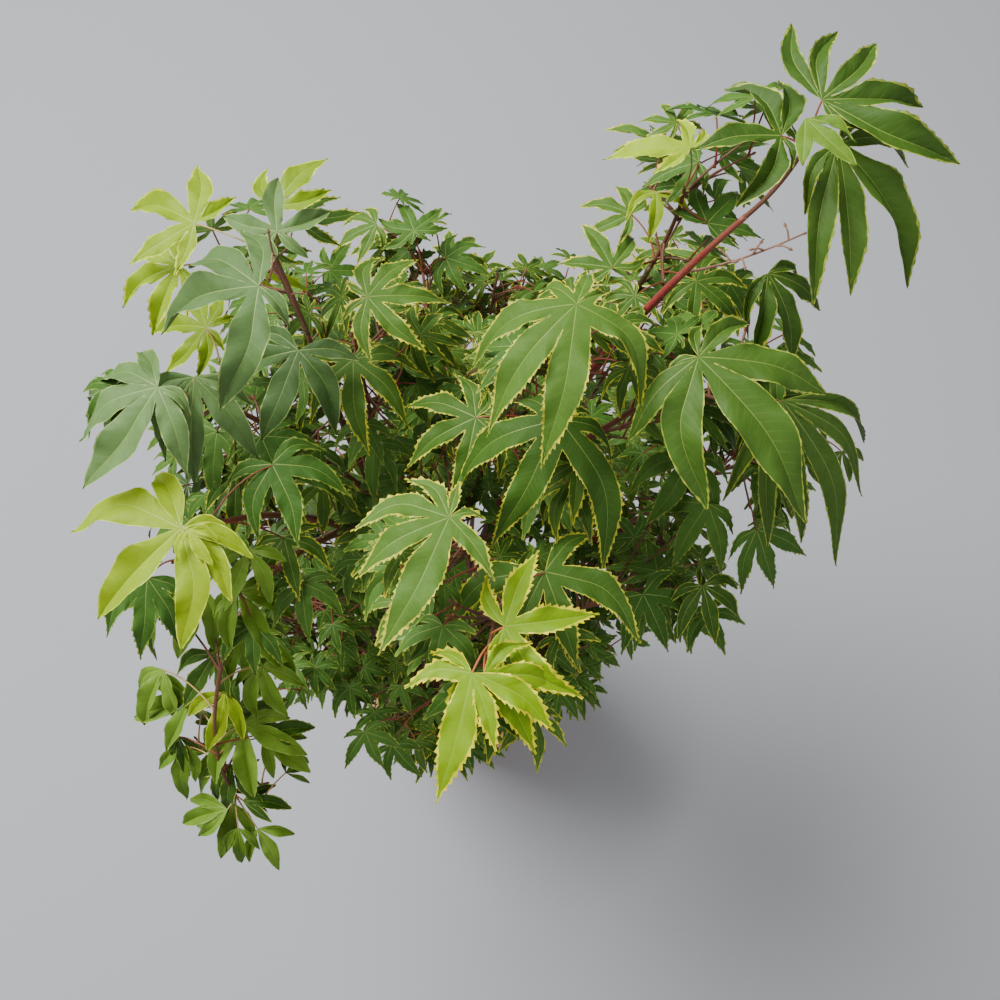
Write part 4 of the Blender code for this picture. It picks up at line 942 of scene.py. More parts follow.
@functools.lru_cache
def scatter_tree():
    """Small rough lumps scattered on a surface, each turned and sized at random."""
    tree, given, out = geometry_tree("Scatter", {
        "Density": "Float", "Size": "Float", "Least": "Float", "Flatness": "Float", "Turn": "Float",
        "Seed": "Int", "Material": "Material"})
    spots = node(
        tree, "GeometryNodeDistributePointsOnFaces", in_Mesh=given["Geometry"],
        in_Density=given["Density"], in_Seed=given["Seed"])
    flat = node(tree, "ShaderNodeCombineXYZ", in_X=1.0, in_Y=LUMP_BREADTH, in_Z=given["Flatness"])
    ball = node(tree, "GeometryNodeMeshIcoSphere", in_Radius=1.0, in_Subdivisions=1)
    lump = node(tree, "GeometryNodeTransform", in_Geometry=ball, in_Scale=flat)
    turn = node(
        tree, "FunctionNodeRandomValue", data_type="FLOAT_VECTOR", in_Min=[-math.pi] * 3,
        in_Max=[math.pi] * 3, in_Seed=given["Seed"])
    part_turn = node(tree, "ShaderNodeVectorMath", operation="SCALE", in_0=turn, in_Scale=given["Turn"])
    turned = node(
        tree, "FunctionNodeRotateRotation", rotation_space="LOCAL", in_Rotation=spots.outputs["Rotation"],
        in_Rotate_By=part_turn)
    size = node(
        tree, "FunctionNodeRandomValue", data_type="FLOAT",
        in_Min_001=times(tree, given["Size"], given["Least"]), in_Max_001=given["Size"],
        in_Seed=plus(tree, given["Seed"], SIZE_SEED))
    placed = node(
        tree, "GeometryNodeInstanceOnPoints", in_Points=spots, in_Instance=lump, in_Rotation=turned,
        in_Scale=socket_of(size.outputs, "Value_001"))
    close_tree(tree, placed, given["Material"], out, smooth=False)
    return tree


# ------------------------ lines of the limbs


def arc(centre, radius, start, end, steps):
    """Points (radius, height) on an arc between two angles in degrees."""
    angles = (math.radians(start + (end - start) * i / steps) for i in range(steps + 1))
    return [(centre[0] + radius * math.cos(a), centre[1] + radius * math.sin(a)) for a in angles]


def curve(start, bend, tip, steps):
    """Points on the smooth curve from start to tip that leans towards bend."""
    shares = [i / steps for i in range(steps + 1)]
    return [start * (1 - t) ** 2 + bend * 2 * t * (1 - t) + tip * t * t for t in shares]


def bend_path(start, bend, tip, finer):
    steps = max(LEAST_LIMB_STEPS, round((tip - start).length / LIMB_STEP)) * finer
    return curve(start, bend, tip, steps)


def taper(thick, thin, count):
    return [thick + (thin - thick) * i / (count - 1) for i in range(count)]


def trunk_line(finer):
    foot = Vector((0, 0, SOIL_LEVEL))
    path = bend_path(foot + Vector((0, 0, FLARE_HEIGHT)), TRUNK_BEND, TRUNK_TIP, finer)
    radii = taper(TRUNK_THICK, TRUNK_THIN, len(path))
    flare_path = []
    flare_radii = []
    for i in range(FLARE_STEPS * finer):
        share = i / (FLARE_STEPS * finer)
        flare_path.append(foot + Vector((0, 0, FLARE_HEIGHT * share)))
        flare_radii.append(TRUNK_THICK + (FLARE_THICK - TRUNK_THICK) * (1 - share) ** 2)
    return flare_path + path, flare_radii + radii


@functools.lru_cache
def limb_lines(finer):
    """Every limb's points and radii, each bough starting on its parent's middle line."""
    lines = {"trunk": trunk_line(finer)}
    for name, bough in BOUGHS.items():
        start = point_along(lines[bough.parent][0], bough.along)
        path = bend_path(start, Vector(bough.bend), Vector(bough.tip), finer)
        lines[name] = (path, taper(bough.thick, BOUGH_TIP_RADIUS, len(path)))
    return lines


def point_along(path, share):
    place = share * (len(path) - 1)
    index = min(int(place), len(path) - 2)
    return path[index].lerp(path[index + 1], place - index)


def ring_frames(path):
    """For each point of a path, two directions square to it that turn as little as they can."""
    side = None
    frames = []
    for i, point in enumerate(path):
        along = (path[min(i + 1, len(path) - 1)] - path[max(i - 1, 0)]).normalized()
        if side is None:
            side = along.orthogonal().normalized()
        side = (side - along * side.dot(along)).normalized()
        frames.append((side, along.cross(side)))
    return frames


# ------------------------ growth


def heading_of(direction):
    return math.degrees(math.atan2(direction.y, direction.x))


def joint_of(leaf):
    return Vector((leaf.x, leaf.y, leaf.z))


def leaf_frame(leaf):
    """The joint, and the leaf's own forward, left and up."""
    heading, fall, roll = (math.radians(a) for a in (leaf.heading, leaf.fall, leaf.roll))
    level = Vector((math.cos(heading), math.sin(heading), 0))
    forward = level * math.cos(fall) + DOWN * math.sin(fall)
    left = Vector((-math.sin(heading), math.cos(heading), 0))
    turn = Matrix.Rotation(roll, 3, forward)
    return joint_of(leaf), forward, turn @ left, turn @ forward.cross(left)


def lobe_point(leaf, frame_of_leaf, angle, length, share):
    joint, forward, left, _ = frame_of_leaf
    turn = math.radians(angle)
    out = (forward * math.cos(turn) + left * math.sin(turn)) * share
    out *= 1 - HANG_SHORTENS * leaf.hang * share
    return joint + length * (out + DOWN * HANG_DROPS * leaf.hang * share**2)


def leaf_rim(leaf, frame_of_leaf):
    """Lobe tips and notches in turn, starting with the middle lobe's tip."""
    half = leaf.lobes // 2
    lengths = [leaf.length * share for share in LOBE_LENGTHS[leaf.lobes]]
    rim = []
    for i in range(2 * leaf.lobes):
        lobe = i / 2 if i <= leaf.lobes else i / 2 - leaf.lobes
        if i == leaf.lobes:
            rim.append(lobe_point(leaf, frame_of_leaf, 180, leaf.length, BACK_NOTCH))
        elif i % 2 == 0:
            rim.append(lobe_point(leaf, frame_of_leaf, leaf.spread * lobe, lengths[abs(int(lobe))], 1))
        else:
            length = (lengths[min(half, int(abs(lobe) + 0.5))] + lengths[int(abs(lobe) - 0.5)]) / 2
            rim.append(lobe_point(leaf, frame_of_leaf, leaf.spread * lobe, length, NOTCH))
    return rim


def plain_leaf(leaf, extra=0.0):
    """A simple star, thickest at its joint, to see what a leaf would touch."""
    frame_of_leaf = leaf_frame(leaf)
    rim = leaf_rim(leaf, frame_of_leaf)
    hub = frame_of_leaf[3] * (HUB_THICK * leaf.length / 2 + extra)
    points = rim + [frame_of_leaf[0] + hub, frame_of_leaf[0] - hub]
    count = len(rim)
    faces = []
    for i in range(count):
        faces += [(i, (i + 1) % count, count), ((i + 1) % count, i, count + 1)]
    return points, faces


def plain_stick(start, end, radius):
    """A three-sided stick, to see what a twig would touch."""
    side = (end - start).orthogonal().normalized()
    other = (end - start).normalized().cross(side)
    corners = [side * math.cos(a) + other * math.sin(a) for a in (0, math.tau / 3, 2 * math.tau / 3)]
    points = [place + corner * radius for place in (start, end) for corner in corners]
    faces = []
    for i in range(3):
        j = (i + 1) % 3
        faces += [(i, j, 3 + i), (j, 3 + j, 3 + i)]
    return points, faces


def tree_of(shapes):
    points, faces = [], []
    for shape_points, shape_faces in shapes:
        faces += [tuple(len(points) + i for i in face) for face in shape_faces]
        points += shape_points
    return BVHTree.FromPolygons(points, faces)


def in_opening(point):
    for place, width in OPENINGS:
        middle = Vector(place) - VIEWPOINT
        span = point - VIEWPOINT
        share = span.dot(middle) / middle.length_squared
        if (span - middle * share).length < width * share:
            return True
    return False


def gap_to_segment(point, start, end):
    along = end - start
    share = max(0, min(1, (point - start).dot(along) / along.length_squared))
    return (point - start - along * share).length


class Space:
    """The room that a mass keeps to: within reach of its own stem, and nearer to it than to any other."""

    def __init__(self, lines):
        self.stems = {}
        for name, mass in MASSES.items():
            self.stems[name] = (lines[mass.bough][0][-1], Vector(mass.shoot), mass.reach)

    def share(self, name, point):
        start, end, reach = self.stems[name]
        return gap_to_segment(point, start, end) / reach

    def holds(self, name, point):
        own = self.share(name, point)
        return own <= 1 and own <= min(self.share(other, point) for other in self.stems)

    def holds_leaf(self, name, leaf):
        frame_of_leaf = leaf_frame(leaf)
        rim = leaf_rim(leaf, frame_of_leaf)
        if any(self.share(name, tip) > TIP_REACH or in_opening(tip) for tip in rim):
            return False
        return self.holds(name, lobe_point(leaf, frame_of_leaf, 0, leaf.length, 0.5))


@functools.lru_cache
def leading_leaves():
    """The middle and length of every leading leaf."""
    found = []
    for mass in MASSES.values():
        for leaf in mass.leaders:
            joint, forward, _, _ = leaf_frame(leaf)
            found.append((joint + forward * SHADE_OWN * leaf.length, leaf.length))
    return found


Stalk = namedtuple("Stalk", "path radii kind")


class Growth:
    """The stem, twigs, petioles and leaves of one mass."""

    def __init__(self, name, space, line):
        self.name = name
        self.mass = MASSES[name]
        self.space = space
        self.blocked = []
        self.rng = random.Random(self.mass.seed)
        self.leaves = []
        self.blades = []
        self.stalks = []
        self.wanted = len(self.mass.leaders) + self.mass.leaves
        path, radii = line
        direction = (path[-1] - path[-2]).normalized()
        start = path[-1] + direction * STEM_LEAD
        shoot = Vector(self.mass.shoot)
        self.bough_end = path[-round(len(path) * TWIGGY_SHARE):-1]
        bend = start + direction * (shoot - start).length / 2
        self.stem = [path[-1] - direction * STEM_LEAD, *bend_path(start, bend, shoot, STEM_FINER)]
        self.add_stalk(self.stem, taper(radii[-1], STEM_THIN, len(self.stem)), "twig", bud=True)

    def add_stalk(self, path, radii, kind, bud=False):
        path, radii = list(path), list(radii)
        if bud:
            ahead = (path[-1] - path[-2]).normalized()
            for step, radius in BUD_STEPS:
                path.append(path[-1] + ahead * step * BUD_LENGTH)
                radii.append(BUD_THICK * radius)
        self.stalks.append(Stalk(path, radii, kind))

    def free(self, shapes):
        tree = tree_of(shapes)
        return not any(tree.overlap(other) for other in self.blocked)

    def shades(self, point, reach):
        """Whether something this wide at this point would stand between a leading leaf and the light."""
        for centre, length in leading_leaves():
            towards = (BRIGHTEST - centre).normalized()
            span = point - centre
            above = span.dot(towards)
            aside = (span - towards * above).length
            if above > -SHADE_SLACK * length and aside < SHADE_REACH * length + reach:
                return True
        return False

    def fits(self, place, leaf):
        joint = joint_of(leaf)
        middle = joint + leaf_frame(leaf)[1] * SHADE_OWN * leaf.length
        if self.shades(middle, SHADE_OWN * leaf.length):
            return False
        if any((joint - joint_of(other)).length < JOINT_SPACING for other in self.leaves):
            return False
        if not self.space.holds_leaf(self.name, leaf):
            return False
        shape = plain_leaf(leaf, CLEARANCE)
        blade = tree_of([shape])
        if any(blade.overlap(other) for other in self.blades):
            return False
        return self.free([shape, plain_stick(place, joint, PETIOLE_THICK + CLEARANCE)])

    def add_leaf(self, place, leaf):
        joint, forward, _, up = leaf_frame(leaf)
        length = (joint - place).length
        bend = place.lerp(joint, 0.5) - DOWN * PETIOLE_ARCH * length - forward * PETIOLE_LAG * length
        end = joint - up * PETIOLE_THIN * JOINT_DEPTH + forward * JOINT_LAP
        radii = taper(PETIOLE_THICK, PETIOLE_THIN, PETIOLE_STEPS + 1)
        radii[0] *= NODE_SWELL
        radii[1] *= NEXT_SWELL
        self.add_stalk(curve(place, bend, end, PETIOLE_STEPS), radii, TINTS[leaf.tint].petiole)
        self.leaves.append(leaf)
        self.blades.append(tree_of([plain_leaf(leaf)]))

    def add_leaders(self):
        """Each leading leaf hangs from the nearest joint of the stem, by a twig where that is far."""
        for leaf in self.mass.leaders:
            joint = joint_of(leaf)
            place = min(self.stem[1:], key=lambda point: (point - joint).length)
            if (joint - place).length > LONGEST_PETIOLE:
                end = joint.lerp(place, LEADER_PETIOLE / (joint - place).length) + DOWN * TWIG_SAG
                self.add_twig_stalk(place, end, 1)
                place = end.lerp(place, NODE_INSET / (end - place).length)
            self.add_leaf(place, leaf)

    def add_dry_twig(self, line, bend, tip, count):
        """A dry flower stalk from the nearest place on a bough, with short side stalks towards its tip."""
        base = min(line, key=lambda point: (point - bend).length)
        path = bend_path(base, bend, tip, DRY_FINER)
        self.add_stalk(path, taper(TWIG_THICK, TWIG_THIN, len(path)), "dry", bud=True)
        for i in range(count):
            start = point_along(path, DRY_START + (1 - DRY_START) * i / count)
            bearing = GOLDEN_ANGLE * i
            out = Vector((math.cos(bearing), math.sin(bearing), DRY_RISE)).normalized()
            middle = start + out * DRY_LENGTH * DRY_BEND - DOWN * DRY_LIFT
            side_stalk = [start, middle, start + out * DRY_LENGTH]
            self.add_stalk(side_stalk, taper(PETIOLE_THICK, PETIOLE_THIN, 3), "dry", bud=True)

    def add_twig_stalk(self, base, end, nodes):
        """A slightly crooked twig, swollen at each pair of leaves, that ends in a bud."""
        side = (end - base).orthogonal().normalized()
        length = (end - base).length
        steps = TWIG_STEPS * nodes
        path, radii = [], []
        for i in range(steps + 1):
            share = i / steps
            sway = math.sin(math.pi * share) * TWIG_SWAY * length
            path.append(base.lerp(end, share) + side * sway)
            swell = NODE_SWELL if i and i % TWIG_STEPS == 0 else 1.0
            radii.append((TWIG_THICK + (TWIG_THIN - TWIG_THICK) * share) * swell)
        radii[0] *= NODE_SWELL
        self.add_stalk(path, radii, "twig", bud=True)

    def leaf_on(self, place, side, direction, tint, scale):
        """Adds a leaf on one side of a twig where it fits, and says whether it did."""
        out = (side * LEAN_OUT + direction * LEAN_ALONG - DOWN * LEAN_UP).normalized()
        joint = place + out * PETIOLE_LENGTH * self.rng.uniform(*PETIOLE_VARIES)
        length = self.mass.length * scale * self.rng.uniform(*LENGTH_VARIES)
        heading = heading_of(out) + self.rng.uniform(-HEADING_VARIES, HEADING_VARIES)
        fall = self.rng.uniform(0, MOST_FALL) + self.mass.steeper
        roll = self.rng.uniform(-ROLL_VARIES, ROLL_VARIES)
        hang = self.rng.uniform(*HANG_RANGE)
        lobes = self.rng.choice(TINTS[tint].lobes)
        leaf = Leaf(*joint, heading, fall, roll, length, lobes, RULE_SPREAD, hang, tint)
        if len(self.leaves) >= self.wanted or not self.fits(place, leaf):
            return False
        self.add_leaf(place, leaf)
        return True

    def add_twig(self, number):
        share = TWIG_START + TWIG_STRETCH * (GOLDEN_SHARE * number % 1)
        bearing = GOLDEN_ANGLE * number + self.rng.uniform(-TWIG_WANDER, TWIG_WANDER)
        rise = self.rng.uniform(*TWIG_RISE)
        direction = Vector((math.cos(bearing), math.sin(bearing), rise)).normalized()
        tint = self.rng.choice(self.mass.tints)
        wood = self.bough_end if number % BOUGH_TURN == 0 else self.stem
        self.grow_twig(point_along(wood, share), direction, MOST_INTERNODES, tint, 1.0)

    def grow_twig(self, base, direction, nodes, tint, scale):
        """A twig with a pair of leaves at each joint, and from its first joint a finer twig each side."""
        while nodes and not self.space.holds(self.name, base + direction * INTERNODE * nodes):
            nodes -= 1
        if not nodes or len(self.leaves) >= self.wanted:
            return
        end = base + direction * INTERNODE * nodes
        clear = base + direction * BASE_CLEAR
        if not self.free([plain_stick(clear, end, TWIG_THICK + CLEARANCE)]):
            return
        if self.shades(end, 0) or in_opening(end):
            return
        level = direction.cross(DOWN).normalized()
        outermost = 0
        for i in range(nodes, 0, -1):
            place = base + direction * (INTERNODE * i - NODE_INSET)
            turn = Matrix.Rotation(math.radians(0 if i % 2 else PAIR_TURN), 3, direction)
            for side in (1, -1):
                if self.leaf_on(place, turn @ (level * side), direction, tint, scale):
                    outermost = max(outermost, i)
        if not outermost:
            return
        self.add_twig_stalk(base, base + direction * INTERNODE * outermost, outermost)
        if outermost > 1 and scale == 1.0:
            for side in (1, -1):
                branch = (direction * SIDE_ALONG + level * side * SIDE_OUT - DOWN * SIDE_UP).normalized()
                self.grow_twig(base + direction * INTERNODE, branch, 1, tint, SIDE_SCALE)


def growth_tree(growth):
    shapes = [plain_leaf(leaf) for leaf in growth.leaves]
    for stalk in growth.stalks:
        shapes.append(plain_stick(stalk.path[0], stalk.path[-1], stalk.radii[len(stalk.radii) // 2]))
    return tree_of(shapes)


@functools.lru_cache
def grown():
    """Every mass, grown in turn so that each keeps clear of the limbs and of the others."""
    lines = limb_lines(FINER)
    space = Space(lines)
    limb_shapes = []
    for path, radii in limb_lines(1).values():
        limb_shapes += [plain_stick(a, b, r) for a, b, r in zip(path, path[1:], radii)]
    limb_tree = tree_of(limb_shapes)
    growths = {name: Growth(name, space, lines[mass.bough]) for name, mass in MASSES.items()}
    for growth in growths.values():
        growth.add_leaders()
    for name, bough, bend, tip, count in DRY_TWIGS:
        growths[name].add_dry_twig(lines[bough][0], Vector(bend), Vector(tip), count)
    trees = {name: growth_tree(growth) for name, growth in growths.items()}
    for name, growth in growths.items():
        growth.blocked = [limb_tree] + [tree for other, tree in trees.items() if other != name]
        for number in range(MOST_TWIGS):
            growth.add_twig(number)
        trees[name] = growth_tree(growth)
    return growths


# ------------------------ leaves

Lobe = namedtuple("Lobe", "angle length hang twist bend curl fold wave")

# Half a lobe: the next lobe on its side (or None), the side (1 is left), the teeth on its margin and the
# share of the lobe's length where it starts to bend
Half = namedtuple("Half", "leaf tint lobe beside side teeth bends_from detail")

# The margin of a half lobe, row by row: its inner edge along and across the lobe, its outer edge, and
# whether it is free; how far along an even lobe would part; and half the angle to the next lobe
Margin = namedtuple("Margin", "along inner outer_along outer is_free nominal half_angle")


def lobes_of(leaf, rng):
    """The lobes from right to left, each with its own small turns."""
    half = leaf.lobes // 2
    shape = SHAPES.get(leaf.shape) or [
        (leaf.spread * i + rng.uniform(-LOBE_STRAYS, LOBE_STRAYS),
         LOBE_LENGTHS[leaf.lobes][abs(i)] * rng.uniform(*LOBE_VARIES)) for i in range(-half, half + 1)]
    lobes = []
    for angle, share in shape:
        draw = LOBE_DRAW * math.sin(math.radians(angle))
        lobes.append(Lobe(
            math.radians(angle + draw),
            leaf.length * share,
            leaf.hang * rng.uniform(*LOBE_HANGS),
            math.radians(rng.uniform(-LOBE_TWIST, LOBE_TWIST)),
            math.radians(rng.uniform(-LOBE_BEND, LOBE_BEND) - draw),
            rng.uniform(*TIP_CURL),
            rng.uniform(0, TINTS[leaf.tint].fold),
            rng.random()))
    return lobes


def lobe_width(t, start, peak, point):
    """Half-width along a free margin, as a share of the widest: a swelling, then a drawn-out or round tip."""
    rise = start + (1 - start) * np.sin(0.5 * np.pi * np.minimum(t / peak, 1))
    past = np.clip((t - peak) / (1 - peak), 0, 1)
    drawn = (1 - past) ** TAPER_POWER * (1 + TAPER_SWELL * past)
    fall = point * drawn + (1 - point) * (1 - past**2) ** ROUND_POWER
    return np.where(t < peak, rise, fall)


def smooth_step(x):
    x = np.clip(x, 0, 1)
    return x * x * (3 - 2 * x)


def varied_rows(rows, varies, rng):
    return np.array([rng.uniform(*varies) for _ in rows])


def margin_of(half, rng):
    leaf, tint, lobe, beside = half.leaf, half.tint, half.lobe, half.beside
    half_angle = abs(beside.angle - lobe.angle) / 2 if beside else math.radians(leaf.spread / 2)
    room = WIDEST_SHARE * tint.peak * math.tan(half_angle)
    widest = max(min(tint.width, room), LEAST_WIDTH * tint.width) * lobe.length * leaf.slim
    shared_rows, free_rows = half.detail.rows, 2 * half.teeth
    row = np.arange(shared_rows + free_rows + 1)
    free = (row - shared_rows) / free_rows
    nominal = tint.cut * lobe.length * math.cos(math.radians(leaf.spread / 2))
    reach = tint.cut * (lobe.length + beside.length) / 2 if beside else 0
    start = reach * math.cos(half_angle) if beside else nominal
    open_length = lobe.length - start
    along = np.where(row <= shared_rows, start * row / shared_rows, start + open_length * free)
    if beside:
        start_across = reach * math.sin(half_angle)
        peak = max(LEAST_PEAK, (tint.peak * lobe.length - start) / open_length)
        open_width = widest * lobe_width(np.clip(free, 0, 1), start_across / widest, peak, tint.point)
        across = np.where(row <= shared_rows, start_across * row / shared_rows, open_width)
    else:
        across = widest * lobe_width(along / lobe.length, 0.0, tint.peak, tint.point)
    across[-1] = 0
    size = min(1.0, leaf.length / FULL_LEAF)
    tooth = tint.tooth * size * np.sqrt(np.sin(np.pi * np.clip(free, END_TEETH, 1 - END_TEETH)))
    tooth = np.where(free > 0, tooth * varied_rows(row, TOOTH_VARIES, rng), 0)
    odd = (row - shared_rows) % 2 == 1
    outer = np.where(odd, across + tooth, across - TOOTH_GAP * tooth)
    outer[-1] = 0
    lean = TOOTH_LEAN * min(1, tint.tooth / FULL_TOOTH) * (open_length / free_rows)
    outer_along = np.where(odd & (free > 0), along + lean, along)
    outer_along[-1] = lobe.length
    edge = tint.edge * size * np.where(odd, 1, EDGE_GAP) * varied_rows(row, EDGE_VARIES, rng)
    edge *= EDGE_START + EDGE_GROWS * np.clip(free, 0, 1)
    strip = np.minimum(edge, MOST_EDGE * across)
    inner = np.maximum(np.minimum(across, outer) - strip, 0)
    is_free = row > (shared_rows if beside else 0)
    return Margin(along, inner, outer_along, outer, is_free, nominal, half_angle)


def bend_start(lobes, i, cut):
    """Share of a lobe's length where it starts to bend, which is past the blade it shares with others."""
    longest = max(lobe.length for lobe in lobes[max(i - 1, 0):i + 2])
    return max(BEND_START, cut * (lobes[i].length + longest) / 2 / lobes[i].length)


def grid_of(half, margin, free, nominal_along, thins):
    """Where each point stands, along and across the lobe, and its share of the way to the margin."""
    tint, lobe = half.tint, half.lobe
    vein_width = np.where(
        np.arange(len(free)) <= half.detail.rows,
        nominal_along * math.tan(math.radians(half.leaf.spread / 2)),
        lobe.length * tint.width * lobe_width(free, VEIN_START, VEIN_PEAK, tint.point))
    vein_width[-1] = 0
    on_midrib = np.maximum.accumulate(np.maximum(nominal_along - VEIN_SLANT * vein_width, 0))
    midrib = np.minimum(half.detail.midrib * thins, MOST_MIDRIB * margin.inner)
    columns = [np.zeros(len(free)), midrib, margin.inner, margin.outer]
    if half.detail.ridged:
        columns.insert(2, (midrib + margin.inner) / 2)
    across = np.stack(columns, 1)
    share = np.clip(across / np.maximum(margin.inner, LEAST_SPAN)[:, None], 0, 1)
    place = on_midrib[:, None] + (margin.along - on_midrib)[:, None] * share
    place[:, -1] = margin.outer_along
    place[0, :] = 0
    place[-1, :] = lobe.length
    across[0, :] = 0
    return place, across, share


def heights_of(half, across, free, rng):
    """How far each point stands up: fold, camber, ridges between side veins, and waves of the margin."""
    tint, lobe, detail = half.tint, half.lobe, half.detail
    height = FOLD * across - CAMBER * across**2
    if detail.ridged:
        row = np.arange(len(free))
        swollen = varied_rows(row, RIDGE_VARIES, rng) * VEIN_RIDGE * tint.spacing
        height[:, 2] += np.where((row - detail.rows) % 2 == 0, swollen, 0) * smooth_step(free * RIDGE_GROWS)
    height += lobe.fold * across * smooth_step(free * FOLD_GROWS)[:, None]
    phase = free * MARGIN_WAVES + lobe.wave + WAVE_LAG * half.side
    wave = (np.sin(math.tau * phase) * smooth_step(free * WAVE_GROWS))[:, None]
    outwards = np.clip(across / (tint.width * lobe.length), 0, WAVE_EDGE)
    return height + detail.wave * lobe.length * wave * outwards**2


def hung_points(half, frame_of_leaf, half_angle, place, across, height):
    """The top of a half lobe as it hangs, bends, curls and twists towards its tip, and its normals."""
    lobe, side, other = half.lobe, half.side, half.beside or half.lobe
    reach = np.hypot(place, across)
    swing = np.arctan2(across, place)
    # Where two lobes share a blade they also share its hang.
    mix = np.clip(swing / half_angle, 0, 1)
    inverse = (1 - mix) / lobe.length + mix * ((1 / lobe.length + 1 / other.length) / 2)
    hang = (1 - mix) * lobe.hang + mix * ((lobe.hang + other.hang) / 2)
    share = reach * inverse
    radial = reach * (1 - HANG_SHORTENS * hang * share)
    grow = smooth_step((place / lobe.length - half.bends_from) / (1 - half.bends_from))
    drop = HANG_DROPS * hang * share * reach + lobe.curl * lobe.length * grow**2 * CURL_DROPS
    angle = lobe.angle + side * swing + lobe.bend * grow
    joint, forward, left, up = (np.array(v) for v in frame_of_leaf)
    flat = joint + radial[..., None] * (
        np.cos(angle)[..., None] * forward + np.sin(angle)[..., None] * left)
    flat[..., 2] -= drop
    sideways = -math.sin(lobe.angle) * forward + math.cos(lobe.angle) * left
    normal = np.cross(np.gradient(flat[:, 0], axis=0), sideways)
    normal /= np.maximum(np.linalg.norm(normal, axis=1), LEAST_NORMAL)[:, None]
    normals = up + (normal[:, None, :] - up) * smooth_step(grow * TURN_GROWS)[..., None]
    normals /= np.linalg.norm(normals, axis=2)[..., None]
    height = height + side * across * np.sin(lobe.twist * grow)
    return flat + normals * height[..., None], normals


def grid_quads(rows, columns, first):
    """Quads between rows of points, the first of which has the number first."""
    corner = (first + np.arange(rows - 1)[:, None] * columns + np.arange(columns - 1)).ravel()
    return np.stack([corner, corner + columns, corner + columns + 1, corner + 1], 1)


def half_lobe(half, frame_of_leaf, thickness, rng):
    """Points, triangles, slots and corner places of one half of a lobe, with its underside."""
    lobe, beside, detail = half.lobe, half.beside, half.detail
    margin = margin_of(half, rng)
    rows = len(margin.along)
    row = np.arange(rows)
    free = np.clip((row - detail.rows) / (2 * half.teeth), 0, 1)
    nominal_along = np.where(
        row <= detail.rows, margin.nominal * row / detail.rows,
        margin.nominal + (lobe.length - margin.nominal) * free)
    thins = 1 - TIP_THINS * nominal_along / lobe.length
    place, across, share = grid_of(half, margin, free, nominal_along, thins)
    height = heights_of(half, across, free, rng)
    top, normals = hung_points(half, frame_of_leaf, margin.half_angle, place, across, height)
    thick = thickness * thins
    thick[-1] = 0
    # The underside meets the margin where that is free, and the next half lobe's underside elsewhere.
    closed = ~margin.is_free
    closed[detail.rows] = closed[detail.rows] and not beside
    columns, below = across.shape[1], len(detail.under)
    gaps = np.stack([thick] * (below - 1) + [thick * closed], 1)
    under = top[:, detail.under] - normals[:, detail.under] * gaps[..., None]
    points = np.concatenate([top.reshape(-1, 3), under.reshape(-1, 3)])
    base = rows * columns
    quads = np.concatenate(
        [grid_quads(rows, columns, 0), grid_quads(rows, below, base)[:, [0, 3, 2, 1]]])
    slots = np.tile(detail.slots, rows - 1).reshape(rows - 1, columns - 1)
    slots[~margin.is_free[1:], -1] = BLADE
    slots = np.concatenate([slots.ravel(), np.full((rows - 1) * (below - 1), UNDER)])
    if half.side < 0:
        quads = quads[:, ::-1]
    triangles = np.concatenate([quads[:, [0, 1, 2]], quads[:, [0, 2, 3]]])
    slots = np.concatenate([slots, slots])
    if not beside:
        wall = np.array([[0, base, columns + columns - 1]])
        triangles = np.concatenate([triangles, wall if half.side > 0 else wall[:, ::-1]])
        slots = np.append(slots, MARGIN)
    sideways = np.concatenate([share.ravel(), np.tile(np.linspace(0, 1, below), rows)])
    lengthways = np.repeat(np.concatenate([free, free]) * half.teeth, np.repeat([columns, below], rows))
    return points, triangles, slots, np.stack([sideways, lengthways], 1)[triangles]


def leaf_shape(leaf, rng, detail, thickness):
    """A whole leaf as welded points, triangles, slots and corner places."""
    tint = TINTS[leaf.tint]
    frame_of_leaf = leaf_frame(leaf)
    lobes = lobes_of(leaf, rng)
    parts = []
    total = 0
    for i, lobe in enumerate(lobes):
        spacing = tint.spacing * detail.spacing
        teeth = max(detail.least_teeth, round(lobe.length * (1 - tint.cut) / spacing))
        for side in (1, -1):
            beside = lobes[i + side] if 0 <= i + side < len(lobes) else None
            half = Half(leaf, tint, lobe, beside, side, teeth, bend_start(lobes, i, tint.cut), detail)
            points, triangles, slots, corners = half_lobe(half, frame_of_leaf, thickness, rng)
            parts.append((points, triangles + total, slots, corners))
            total += len(points)
    points, triangles, slots, corners = (np.concatenate(arrays) for arrays in zip(*parts))
    x, y, z = np.round((points + [1, 1, 0]) / WELD).astype(np.int64).T
    keys = (x << 2 * PLACE_BITS) + (y << PLACE_BITS) + z
    _, first, index = np.unique(keys, return_index=True, return_inverse=True)
    triangles = index.reshape(-1)[triangles]
    a, b, c = triangles.T
    whole = (a != b) & (b != c) & (a != c)
    return points[first], triangles[whole], slots[whole], corners[whole]


# ------------------------ operators


